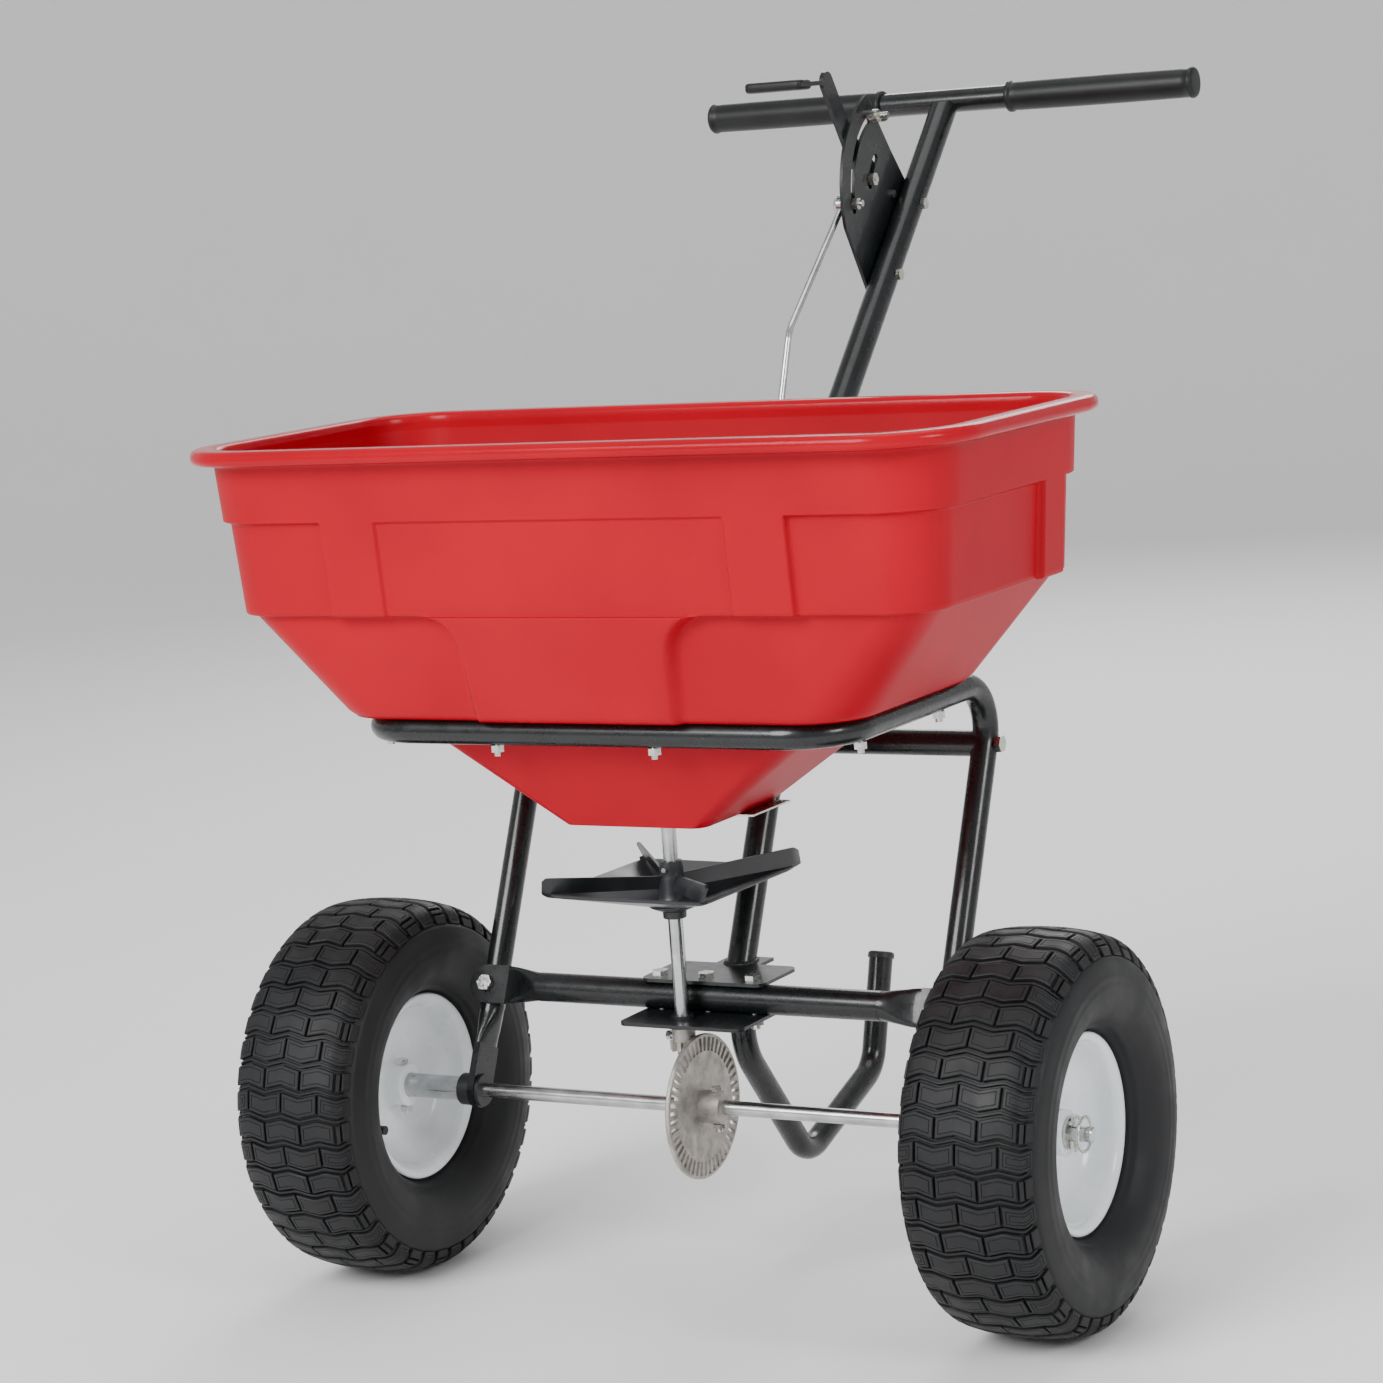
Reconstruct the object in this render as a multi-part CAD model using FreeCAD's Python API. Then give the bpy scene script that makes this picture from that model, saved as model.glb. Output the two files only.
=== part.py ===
import FreeCAD, Part
import math
import os

# Walk-behind broadcast spreader: a moulded hopper on a bent tube frame, with an axle whose
# slotted disc turns a pinion, shaft and impeller under a sliding gate.
# Millimetres. +X is the operator's right, +Y is back towards the operator, +Z is up.
# The work axes are the axle's: x = 0 in the middle of the axle, y = 0 and z = 0 on its centre
# line. Every piece is written out moved so that the wheels stand on z = 0 and the whole
# object is centred over the origin.

V = FreeCAD.Vector

# ---------------------------------------------------------------- driving dimensions
TYRE_R = 165.0            # tyre outer radius
TYRE_W = 125.0            # tyre width
RIM_LIP_R = 82.0          # outer radius of the rim's rolled lip
WHEEL_X = 317.0           # axle middle to the middle plane of each wheel
AXLE_R = 6.35             # drive axle radius
AXLE_LEFT_X = -349.0
AXLE_RIGHT_X = 362.0

FRAME_TUBE_R = 11.1       # bent frame tube
FRAME_WALL = 1.6
FRAME_HALF_W = 222.0      # x of the legs and of the cradle rails
RAIL_Z = 344.0            # height of the cradle above the axle
CRADLE_FRONT_Y = -131.0
CRADLE_BEND_R = 50.0
LEG_BEND_R = 38.0
LEG_LEAN = 25.4           # degrees that the legs lean back from upright
LEG_FLAT_T = 6.4          # thickness of the flattened leg ends
LEG_FLAT_W = 31.0
LEG_FLAT_TOP = 40.0       # distance up the leg where the flattening ends
LEG_ROUND_AT = 73.0       # distance up the leg where the tube is round again

CROSSBAR_R = 12.7
CROSSBAR_UP = 92.0        # distance up the leg to the lower crossbar
CROSSBAR_FLAT_T = 4.0
CROSSBAR_FLAT_W = 34.0
CROSSBAR_FLAT_X = 201.0   # where the flattened end begins
CROSSBAR_ROUND_X = 166.0  # where the tube is round again
REAR_TUBE_UP = 322.0      # distance up the leg to the rear cross tube

MAST_R = 12.7
MAST_WALL = 1.8
MAST_FOOT_Y = 90.0
MAST_LOWER_SLOPE = 0.484  # y per z below the bend
MAST_BEND_Z = 492.0
MAST_UPPER_SLOPE = 0.988  # y per z above the bend
MAST_BEND_R = 90.0
HANDLE_Z = 826.0
HANDLE_R = 11.1
HANDLE_HALF_L = 250.0
GRIP_R = 14.8
GRIP_INNER_X = 66.0
GRIP_END_T = 5.0

PLATE_T = 3.0             # clamp plates
PLATE_HALF_W = 59.4
PLATE_BACK_Y = 83.0
UPPER_PLATE_FRONT_Y = 16.0
LOWER_PLATE_FRONT_Y = -26.3
TONGUE_HALF_W = 21.0
TONGUE_BACK_Y = 110.0
CLAMP_BOLT_PITCH = 45.0
BRACKET_BOLT_X = 30.0     # strap between the mast and the rear cross tube
BRACKET_T = 3.0
BRACKET_W = 24.0

STAND_R = 11.1
STAND_TOP_Y = 84.0
STAND_LOW_Y = 182.0
STAND_LOW_Z = -94.0
STAND_REAR_Y = 321.0
STAND_REAR_Z = -49.0
STAND_TIP_Y = 352.0
STAND_TIP_Z = 47.0
STAND_BEND_R = 34.0

HOPPER_Y = -20.0          # middle of the hopper
HOPPER_HALF_W = 342.0     # outside of the wall just under the lip
HOPPER_HALF_D = 160.0
HOPPER_CORNER_R = 60.0
HOPPER_WALL = 4.0
HOPPER_DRAFT = 0.08       # how far the walls come in for each mm down
LIP_Z = 571.0             # underside of the rolled lip
LIP_H = 13.0
LIP_OUT = 19.0
BAND_Z = 523.0            # bottom edge of the plain upper band
WAIST_Z = 443.5           # bottom edge of the panelled band
RECESS = 10.0             # depth of the recessed panels
PILASTER_X = 215.0        # outer edge of each pilaster
PILASTER_INNER_X = 161.0
SIDE_PILASTER_Y = 55.0
WAIST_STEP = 8.0          # step in at the bottom of the panelled band
SHELF_HALF_W = 242.0      # where the tapered part lands on the cradle
SHELF_FRONT_Y = -145.0
SHELF_BACK_Y = 112.0
SHELF_CORNER_R = 50.0
BULGE_TOP_X = 96.0        # half width of the front bulge at the waist
BULGE_FOOT_X = 78.0
FUNNEL_GAP = 5.0          # between the funnel and the cradle tube
FLOOR_Z = 256.0           # underside of the hopper floor
FLOOR_HALF_W = 66.6
FLOOR_FRONT_Y = -76.0
FLOOR_BACK_Y = 52.0
FLOOR_CORNER_R = 12.0

SHAFT_X = -10.0           # upright spinner shaft
SHAFT_R = 6.35
IMPELLER_Z = 174.0        # underside of the impeller plate
IMPELLER_R = 112.0
IMPELLER_PLATE_R = 78.0
IMPELLER_T = 3.0
FIN_H = 18.0
FIN_T = 3.0
FIN_RISE = 13.0           # how far a fin's lower edge rises towards its tip
FIN_PHASE = 40.0
IMPELLER_HUB_R = 12.5
PIN_R = 2.0
FIN_COUNT = 4
GEAR_R = 61.8
GEAR_T = 4.0
GEAR_X = 1.4              # near face of the slotted disc
GEAR_SLOTS = 48
GEAR_SLOT_W = 4.0
GEAR_SLOT_IN_R = 47.0
GEAR_SLOT_OUT_R = 59.0
PINION_TEETH = 9
PINION_TIP_R = 12.4
PINION_ROOT_R = 8.6
PINION_TIP_W = 1.8
PINION_ROOT_W = 3.2
PINION_H = 8.0
GEAR_HUB_R = 14.0
GEAR_HUB_END_X = 25.0
GEAR_PIN_X = 17.5
PINION_COLLAR_R = 10.0
SET_SCREW_R = 2.5
OUTLET_T = 1.5
OUTLET_HALF_W = 80.0
OUTLET_FRONT_Y = -14.0
PORT_COUNT = 3
PORT_R = 8.5
PORT_PITCH = 20.0
PORT_Y = 25.5             # middle of the row of outlet ports
GATE_T = 2.0
GATE_HALF_W = 33.0
GATE_FRONT_Y = 12.5
GATE_BACK_Y = 60.0
GATE_TAIL_Y = 172.0
GATE_EAR_L = 34.0
GATE_EAR_H = 21.0
HOOK_BACK = 17.0          # rod hook to the end of the gate's tail
HOOK_UP = 12.0            # rod hook above the underside of the gate
GUIDE_END_Y = 104.0
GATE_TAIL_W = 18.0

PIVOT_Y = 504.0           # pivot of the control lever
PIVOT_Z = 744.0
SLOT_R = 80.0             # radius of the outer slot of the rate plate
SLOT_FROM = -8.0          # angles above level forward, in degrees
SLOT_TO = 70.0
GUIDE_R = 45.0            # radius of the guide slot
GUIDE_FROM = 14.0
GUIDE_TO = 50.0
GUIDE_AT = 20.0
ROD_AT = -3.7             # angle of the rod pin at rest
STOP_AT = 66.0            # angle of the rate stop bolt as drawn
RATE_EDGE_AT = (67.0, 26.0, -15.0)  # ends and middle of the rate plate's round edge
RATE_NUT_H = 4.0
RATE_PLATE_R = 101.0
RATE_PLATE_T = 3.0
RATE_BOLT_Z = (671.0, 733.0)
LEVER_T = 4.0
LEVER_W = 20.0
LEVER_KNEE_Y = 396.0
LEVER_KNEE_Z = 850.0
LEVER_PAD_L = 56.0
LEVER_OUT_L = 74.0        # length of the arm turned out to the left
ROD_R = 3.0
ROD_BEND_Y = 302.0
ROD_BEND_Z = 633.0

RIM_HALF_W = 38.0
RIM_WELL_R = 66.0
RIM_T = 3.0
WEB_HALF_W = 12.0
HUB_BOLT_X = 16.0         # hub middle to the bolt through the hub
TYRE_WALL = 9.0
HUB_R = 19.0
HUB_HALF_L = 23.0
BUSH_WALL = 4.0
VALVE_R = 4.0
VALVE_AT_R = 68.5
VALVE_DEG = 110.0
VALVE_L = 24.0
LINCH_R = 2.0
LINCH_HEAD_R = 3.6
LINCH_LOOP_R = 14.0
TOE_L = 9.5               # rod toe through the gate's ear
STICKER_T = 0.4
WASHER_T = 2.0
BEARING_WALL = 3.0        # plastic bearings of the upright shaft
BEARING_FLANGE_R = 14.0
BEARING_FLANGE_T = 4.0
LEG_BUSH_R = 10.0
LEG_BUSH_FLANGE_R = 14.0
LEG_BUSH_L = 12.0

# clearances
RUNNING = 0.05            # radial, shaft in bearing
MOVING = 0.5              # between pieces that pass each other
BOLT_FREE = 0.25          # radial, bolt in hole
LET_IN = 0.3              # how far a flattened stretch sits inside the pieces it joins
HOOK_PLAY = 2.0           # rod hook in the gate's slot, all round and again each way along it

M6_R = 3.0
M6_HEAD_FLATS = 10.0
M6_HEAD_H = 4.0
M6_NUT_H = 5.0
M6_TAIL = 8.0              # bolt left past the seat of its nut
M8_R = 4.0
M8_HEAD_FLATS = 13.0
M8_HEAD_H = 5.3
M8_NUT_H = 6.5

# ---------------------------------------------------------------- dimensions that follow
LEAN = math.radians(LEG_LEAN)
UP_LEG = V(0, math.sin(LEAN), math.cos(LEAN))
OFF_LEG = V(0, -math.cos(LEAN), math.sin(LEAN))
CRADLE_RADII = (LEG_BEND_R, CRADLE_BEND_R, CRADLE_BEND_R, LEG_BEND_R)
LEG_TOP_Y = RAIL_Z * math.tan(LEAN)
MAST_BEND_Y = MAST_FOOT_Y + MAST_LOWER_SLOPE * (MAST_BEND_Z - 104.4)
HANDLE_Y = MAST_BEND_Y + MAST_UPPER_SLOPE * (HANDLE_Z - MAST_BEND_Z)
CROSSBAR_AT = UP_LEG * CROSSBAR_UP + OFF_LEG * (FRAME_TUBE_R + CROSSBAR_FLAT_T / 2)
UPPER_PLATE_Z = CROSSBAR_AT.z + CROSSBAR_R
LOWER_PLATE_Z = CROSSBAR_AT.z - CROSSBAR_R - PLATE_T
SHELF_Z = RAIL_Z + FRAME_TUBE_R
GRIP_END_X = HANDLE_HALF_L + GRIP_END_T
FRONT_Y = HOPPER_Y - HOPPER_HALF_D - LIP_OUT
BACK_Y = HANDLE_Y + GRIP_R
TO_ORIGIN = V(0, -(FRONT_Y + BACK_Y) / 2, TYRE_R)
MAST_FLAT_X = -MAST_R
BEARING_R = SHAFT_R + BEARING_WALL
COLLAR_TOP_Z = LOWER_PLATE_Z - BEARING_FLANGE_T - MOVING
WASHER_X = WHEEL_X + HUB_HALF_L + MOVING
LINCH_X = WASHER_X + WASHER_T + LINCH_HEAD_R
RATE_PLATE_X = MAST_FLAT_X - RATE_PLATE_T
LEVER_X = RATE_PLATE_X - MOVING - LEVER_T
GATE_Z = FLOOR_Z - OUTLET_T - MOVING - GATE_T
ROD_X = LEVER_X - MOVING - ROD_R
PINION_Z = (GEAR_SLOT_IN_R + GEAR_SLOT_OUT_R) / 2 - PINION_H / 2
SET_SCREW_Z = PINION_Z + PINION_H + 3.5
IMPELLER_PIN_Z = IMPELLER_Z + 32
AGITATOR_Z = FLOOR_Z + HOPPER_WALL + 36
BRACKET_Z = REAR_TUBE_UP * math.cos(LEAN)


# ---------------------------------------------------------------- plain shapes
def cyl(radius, start, end):
    way = end - start
    return Part.makeCylinder(radius, way.Length, start, way)


def ring(outer, inner, start, end):
    return cyl(outer, start, end).cut(cyl(inner, start, end))


def block(x0, x1, y0, y1, z0, z1):
    return Part.makeBox(x1 - x0, y1 - y0, z1 - z0, V(x0, y0, z0))


def fuse(shapes):
    first = shapes[0]
    if len(shapes) == 1:
        return first
    return first.fuse(shapes[1:]).removeSplitter()


def group(shapes):
    return Part.makeCompound(shapes)


def on_both_sides(shape):
    """The shape and its mirror image on the other side of x = 0."""
    return [shape, shape.mirror(V(0, 0, 0), V(1, 0, 0))]


def hexagon(flats, start, end):
    """A six-sided bar from start to end, measured across its flats."""
    way = end - start
    side = V(way).cross(V(0, 0, 1))
    if side.Length < 1e-6:
        side = V(1, 0, 0)
    side.normalize()
    other = V(way).cross(side).normalize()
    corner = flats / math.sqrt(3)
    points = []
    for k in range(6):
        angle = math.radians(60 * k)
        points.append(start + side * (corner * math.cos(angle)) + other * (corner * math.sin(angle)))
    face = Part.Face(Part.makePolygon(points + points[:1]))
    return face.extrude(way)


def bolt(seat, tip, radius, flats, head_h):
    """A hexagon bolt whose head seats at seat and whose shank ends at tip."""
    way = V(tip - seat).normalize()
    head = hexagon(flats, seat - way * head_h, seat)
    return head.fuse(cyl(radius, seat, tip)).removeSplitter()


def nut(seat, way, radius, flats, height):
    """A hexagon nut seated at seat, reaching along way."""
    end = seat + way * height
    return hexagon(flats, seat, end).cut(cyl(radius, seat - way, end + way))


def yz_face(points, x):
    return Part.Face(Part.makePolygon([V(x, y, z) for y, z in points + points[:1]]))


def polar(radius, degrees):
    """Point (y, z) at an angle above level forward, about the lever's pivot."""
    angle = math.radians(degrees)
    return PIVOT_Y - radius * math.cos(angle), PIVOT_Z + radius * math.sin(angle)


def strip(start, end, width, x0, x1):
    """A flat bar with round ends between two (y, z) points, from x0 to x1."""
    a = V(x0, start[0], start[1])
    b = V(x0, end[0], end[1])
    thick = V(x1 - x0, 0, 0)
    way = b - a
    side = V(way).cross(V(1, 0, 0)).normalize() * (width / 2)
    body = Part.Face(Part.makePolygon([a + side, b + side, b - side, a - side, a + side]))
    ends = [cyl(width / 2, point, point + thick) for point in (a, b)]
    return fuse([body.extrude(thick)] + ends)


def arc_slot(radius, width, from_deg, to_deg, x0, x1):
    """A curved slot about the lever's pivot."""
    band = ring(radius + width / 2, radius - width / 2, V(x0, PIVOT_Y, PIVOT_Z), V(x1, PIVOT_Y, PIVOT_Z))
    far = 3 * radius
    wedge = [(PIVOT_Y, PIVOT_Z)]
    for k in range(5):
        angle = math.radians(from_deg + (to_deg - from_deg) * k / 4)
        wedge.append((PIVOT_Y - far * math.cos(angle), PIVOT_Z + far * math.sin(angle)))
    body = band.common(yz_face(wedge, x0).extrude(V(x1 - x0, 0, 0)))
    ends = []
    for degrees in (from_deg, to_deg):
        y, z = polar(radius, degrees)
        ends.append(cyl(width / 2, V(x0, y, z), V(x1, y, z)))
    return fuse([body] + ends)


# ---------------------------------------------------------------- bent round bar and tube
def bent_bar(points, bend_radii, radius):
    """Round bar along straight runs joined by tangent arcs, one radius for each inner point."""
    pieces = []
    start = points[0]
    for k in range(1, len(points) - 1):
        before = V(points[k] - points[k - 1]).normalize()
        after = V(points[k + 1] - points[k]).normalize()
        turn = before.getAngle(after)
        trim = bend_radii[k - 1] * math.tan(turn / 2)
        arc_start = points[k] - before * trim
        pieces.append(cyl(radius, start, arc_start))
        axis = V(before).cross(after).normalize()
        inward = V(axis).cross(before).normalize()
        centre = arc_start + inward * bend_radii[k - 1]
        disc = Part.Face(Part.Wire(Part.makeCircle(radius, arc_start, before)))
        pieces.append(disc.revolve(centre, axis, math.degrees(turn)))
        start = points[k] + after * trim
    pieces.append(cyl(radius, start, points[-1]))
    return fuse(pieces)


def bent_tube(points, bend_radii, radius, wall):
    """The same path as a tube, open at both ends."""
    first = V(points[0] - points[1]).normalize()
    last = V(points[-1] - points[-2]).normalize()
    longer = [points[0] + first] + points[1:-1] + [points[-1] + last]
    return bent_bar(points, bend_radii, radius).cut(bent_bar(longer, bend_radii, radius - wall))


def flat_section(centre, wide_way, thin_way, width, thickness):
    """A closed smooth curve with the outline of a flattened tube."""
    points = []
    for k in range(24):
        angle = 2 * math.pi * k / 24
        power = 0.55 + 0.45 * (thickness / width) ** 2
        across = math.copysign(abs(math.cos(angle)) ** power, math.cos(angle)) * width / 2
        through = math.copysign(abs(math.sin(angle)) ** power, math.sin(angle)) * thickness / 2
        points.append(centre + wide_way * across + thin_way * through)
    curve = Part.BSplineCurve()
    curve.interpolate(Points=points, PeriodicFlag=True)
    return Part.Wire(curve.toShape())


def flattening(round_at, flat_at, radius, wide_way, thin_way, width, thickness):
    """Solid that turns a round tube at round_at into a flat end at flat_at, let in at both ends."""
    way = V(flat_at - round_at).normalize()
    middle = (round_at + flat_at) * 0.5
    slim = 2 * (radius - LET_IN)
    flat_w = width - 2 * LET_IN
    flat_t = thickness - LET_IN
    wires = [
        flat_section(round_at - way * 3, wide_way, thin_way, slim, slim),
        flat_section(round_at + way, wide_way, thin_way, slim, slim),
        flat_section(middle, wide_way, thin_way, (slim + flat_w) / 2, (slim + flat_t) / 2),
        flat_section(flat_at, wide_way, thin_way, flat_w, flat_t),
        flat_section(flat_at + way * 3, wide_way, thin_way, flat_w, flat_t),
    ]
    return Part.makeLoft(wires, True)


# ---------------------------------------------------------------- frame
def leg_point(distance, x=FRAME_HALF_W):
    return UP_LEG * distance + V(x, 0, 0)


def cradle_path():
    """Centre line from the foot of the right leg round the cradle to the left one."""
    right = [leg_point(LEG_ROUND_AT), V(FRAME_HALF_W, LEG_TOP_Y, RAIL_Z),
             V(FRAME_HALF_W, CRADLE_FRONT_Y, RAIL_Z)]
    left = [V(-point.x, point.y, point.z) for point in reversed(right)]
    return right + left


def leg_end():
    """The flattened lower end of the right leg, with its round bottom."""
    x_way = V(1, 0, 0)
    along = V(UP_LEG)
    turn = flattening(leg_point(LEG_ROUND_AT), leg_point(LEG_FLAT_TOP), FRAME_TUBE_R,
                      OFF_LEG, x_way, LEG_FLAT_W, LEG_FLAT_T)
    half = V(LEG_FLAT_T / 2, 0, 0)
    side = OFF_LEG * (LEG_FLAT_W / 2)
    low = leg_point(0) - half
    high = low + along * LEG_FLAT_TOP
    plate = Part.Face(Part.makePolygon([low + side, high + side, high - side, low - side, low + side]))
    bottom = cyl(LEG_FLAT_W / 2, leg_point(0) - half, leg_point(0) + half)
    return fuse([turn, plate.extrude(half * 2), bottom])


def bolt_spots_on_cradle():
    """(x, y) of each bolt that holds the hopper down, with the front ones on the front tube."""
    spots = [(-88.0, CRADLE_FRONT_Y), (60.0, CRADLE_FRONT_Y)]
    for y in (-88.0, 54.0):
        spots += [(FRAME_HALF_W, y), (-FRAME_HALF_W, y)]
    return spots


def cradle_frame():
    tube = bent_tube(cradle_path(), CRADLE_RADII, FRAME_TUBE_R, FRAME_WALL)
    frame = fuse([tube] + on_both_sides(leg_end()))
    holes = []
    for x, y in bolt_spots_on_cradle():
        holes.append(cyl(M6_R + BOLT_FREE, V(x, y, RAIL_Z - 20), V(x, y, RAIL_Z + 20)))
    bush = cyl(LEG_BUSH_R, leg_point(0) - V(9, 0, 0), leg_point(0) + V(9, 0, 0))
    reach = 20.0
    crossbar_at = leg_point(CROSSBAR_UP)
    rear_at = leg_point(REAR_TUBE_UP)
    bar_bolt = cyl(M8_R + BOLT_FREE, crossbar_at - OFF_LEG * reach, crossbar_at + OFF_LEG * reach)
    rear = cyl(M8_R + BOLT_FREE, rear_at - V(reach, 0, 0), rear_at + V(reach, 0, 0))
    for hole in (bush, bar_bolt, rear):
        holes += on_both_sides(hole)
    return frame.cut(holes)


def rear_cross_tube():
    end = leg_point(REAR_TUBE_UP)
    tube = ring(FRAME_TUBE_R, FRAME_TUBE_R - FRAME_WALL, V(-end.x, end.y, end.z), end)
    plug = cyl(FRAME_TUBE_R - FRAME_WALL, end - V(40, 0, 0), end).cut(
        cyl(M8_R, end - V(41, 0, 0), end + V(1, 0, 0)))
    frame = bent_bar(cradle_path(), CRADLE_RADII, FRAME_TUBE_R)
    mount = leg_point(REAR_TUBE_UP, 0)
    holes = []
    for x in (-BRACKET_BOLT_X, BRACKET_BOLT_X):
        holes.append(cyl(M6_R + BOLT_FREE, mount + V(x, -20, 0), mount + V(x, 20, 0)))
    return fuse([tube] + on_both_sides(plug)).cut([frame] + holes)


def rear_cross_bolts():
    end = leg_point(REAR_TUBE_UP)
    seat = end + V(FRAME_TUBE_R, 0, 0)
    tip = end - V(FRAME_TUBE_R + 22, 0, 0)
    return group(on_both_sides(bolt(seat, tip, M8_R, M8_HEAD_FLATS, M8_HEAD_H)))


def crossbar_end():
    """The flattened right end of the lower crossbar, lying against the front of the leg."""
    x_way = V(1, 0, 0)
    turn = flattening(CROSSBAR_AT + x_way * CROSSBAR_ROUND_X, CROSSBAR_AT + x_way * CROSSBAR_FLAT_X,
                      CROSSBAR_R, UP_LEG, OFF_LEG, CROSSBAR_FLAT_W, CROSSBAR_FLAT_T)
    half = OFF_LEG * (CROSSBAR_FLAT_T / 2)
    side = UP_LEG * (CROSSBAR_FLAT_W / 2)
    inner = CROSSBAR_AT + x_way * CROSSBAR_FLAT_X - half
    outer = CROSSBAR_AT + x_way * FRAME_HALF_W - half
    corners = [inner + side, outer + side, outer - side, inner - side, inner + side]
    plate = Part.Face(Part.makePolygon(corners))
    tip = cyl(CROSSBAR_FLAT_W / 2, outer, outer + half * 2)
    return fuse([turn, plate.extrude(half * 2), tip])


def lower_crossbar():
    reach = V(CROSSBAR_ROUND_X, 0, 0)
    tube = ring(CROSSBAR_R, CROSSBAR_R - FRAME_WALL, CROSSBAR_AT - reach, CROSSBAR_AT + reach)
    bar = fuse([tube] + on_both_sides(crossbar_end()))
    holes = []
    for x, y in clamp_bolt_spots():
        holes.append(cyl(M8_R + BOLT_FREE, V(x, y, LOWER_PLATE_Z - 5), V(x, y, UPPER_PLATE_Z + 5)))
    end = CROSSBAR_AT + V(FRAME_HALF_W, 0, 0)
    holes += on_both_sides(cyl(M8_R + BOLT_FREE, end - OFF_LEG * 10, end + OFF_LEG * 10))
    return bar.cut(holes)


def crossbar_bolts():
    """Bolt and nut through each flattened end and the leg behind it."""
    front = CROSSBAR_AT + V(FRAME_HALF_W, 0, 0) + OFF_LEG * (CROSSBAR_FLAT_T / 2)
    back = leg_point(CROSSBAR_UP) - OFF_LEG * FRAME_TUBE_R
    screw = bolt(front, back - OFF_LEG * 9, M8_R, M8_HEAD_FLATS, M8_HEAD_H)
    holder = nut(back, -OFF_LEG, M8_R, M8_HEAD_FLATS, 6.5)
    return group(on_both_sides(screw) + on_both_sides(holder))


# ---------------------------------------------------------------- clamp plates at the crossbar
def clamp_bolt_spots():
    return [(x, CROSSBAR_AT.y) for x in (-CLAMP_BOLT_PITCH, 0.0, CLAMP_BOLT_PITCH)]


def clamp_plate(front_y, z):
    """Flat plate with rounded corners and a narrow tongue behind."""
    corner = 9.0
    body = block(-PLATE_HALF_W, PLATE_HALF_W, front_y, PLATE_BACK_Y, z, z + PLATE_T)
    uprights = [edge for edge in body.Edges if abs(edge.tangentAt(edge.FirstParameter).z) > 0.9]
    body = body.makeFillet(corner, uprights)
    tongue = block(-TONGUE_HALF_W, TONGUE_HALF_W, PLATE_BACK_Y - corner, TONGUE_BACK_Y, z, z + PLATE_T)
    plate = fuse([body, tongue])
    holes = []
    for x, y in clamp_bolt_spots():
        holes.append(cyl(M8_R + BOLT_FREE, V(x, y, z - 1), V(x, y, z + PLATE_T + 1)))
    return plate.cut(holes)


def upper_clamp_plate():
    return clamp_plate(UPPER_PLATE_FRONT_Y, UPPER_PLATE_Z)


def lower_clamp_plate():
    plate = clamp_plate(LOWER_PLATE_FRONT_Y, LOWER_PLATE_Z)
    bearing = cyl(BEARING_R, V(SHAFT_X, 0, LOWER_PLATE_Z - 1), V(SHAFT_X, 0, LOWER_PLATE_Z + PLATE_T + 1))
    return plate.cut(bearing)


def clamp_bolts():
    top = UPPER_PLATE_Z + PLATE_T
    low = LOWER_PLATE_Z - 10
    return group([bolt(V(x, y, top), V(x, y, low), M8_R, M8_HEAD_FLATS, M8_HEAD_H)
                  for x, y in clamp_bolt_spots()])


def clamp_nuts():
    down = V(0, 0, -1)
    return group([nut(V(x, y, LOWER_PLATE_Z), down, M8_R, M8_HEAD_FLATS, M8_NUT_H)
                  for x, y in clamp_bolt_spots()])


# ---------------------------------------------------------------- mast and handlebar
def mast_axis(z):
    """The mast's centre line at a height, leaving out the bend's arc."""
    if z < MAST_BEND_Z:
        return V(0, MAST_FOOT_Y + MAST_LOWER_SLOPE * (z - 104.4), z)
    return V(0, MAST_BEND_Y + MAST_UPPER_SLOPE * (z - MAST_BEND_Z), z)


def mast_tube():
    foot = mast_axis(UPPER_PLATE_Z - 25)
    path = [foot, V(0, MAST_BEND_Y, MAST_BEND_Z), V(0, HANDLE_Y, HANDLE_Z)]
    tube = bent_tube(path, [MAST_BEND_R], MAST_R, MAST_WALL)
    side = MAST_R + 25
    under = block(-side, side, 0, 200, 0, UPPER_PLATE_Z + PLATE_T)
    reach = 60.0
    bar = cyl(HANDLE_R, V(-reach, HANDLE_Y, HANDLE_Z), V(reach, HANDLE_Y, HANDLE_Z))
    beyond = block(-side, side, HANDLE_Y, HANDLE_Y + reach, HANDLE_Z - reach, HANDLE_Z + reach)
    above = block(-side, side, HANDLE_Y - reach, HANDLE_Y + reach, HANDLE_Z, HANDLE_Z + reach)
    holes = []
    for z in RATE_BOLT_Z:
        at = mast_axis(z)
        holes.append(cyl(M6_R + BOLT_FREE, at - V(30, 0, 0), at + V(30, 0, 0)))
    at = mast_axis(BRACKET_Z)
    holes.append(cyl(M6_R + BOLT_FREE, at - V(30, 0, 0), at + V(30, 0, 0)))
    return tube.cut([under, bar, beyond, above] + holes)


def mast_bracket():
    """Bent strap that ties the mast to the rear cross tube."""
    tube = leg_point(REAR_TUBE_UP, 0)
    mast = mast_axis(BRACKET_Z)
    front = tube.y + FRAME_TUBE_R
    z0 = BRACKET_Z - BRACKET_W / 2
    z1 = BRACKET_Z + BRACKET_W / 2
    wing = block(-BRACKET_BOLT_X - 12, BRACKET_BOLT_X + 12, front, front + BRACKET_T, z0, z1)
    cheek = block(MAST_R, MAST_R + BRACKET_T, front, mast.y + 12, z0, z1)
    pieces = [wing] + on_both_sides(cheek)
    holes = [cyl(M6_R + BOLT_FREE, mast - V(30, 0, 0), mast + V(30, 0, 0))]
    for x in (-BRACKET_BOLT_X, BRACKET_BOLT_X):
        holes.append(cyl(M6_R + BOLT_FREE, V(x, front - 5, BRACKET_Z), V(x, front + 9, BRACKET_Z)))
    return fuse(pieces).cut(holes)


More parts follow.
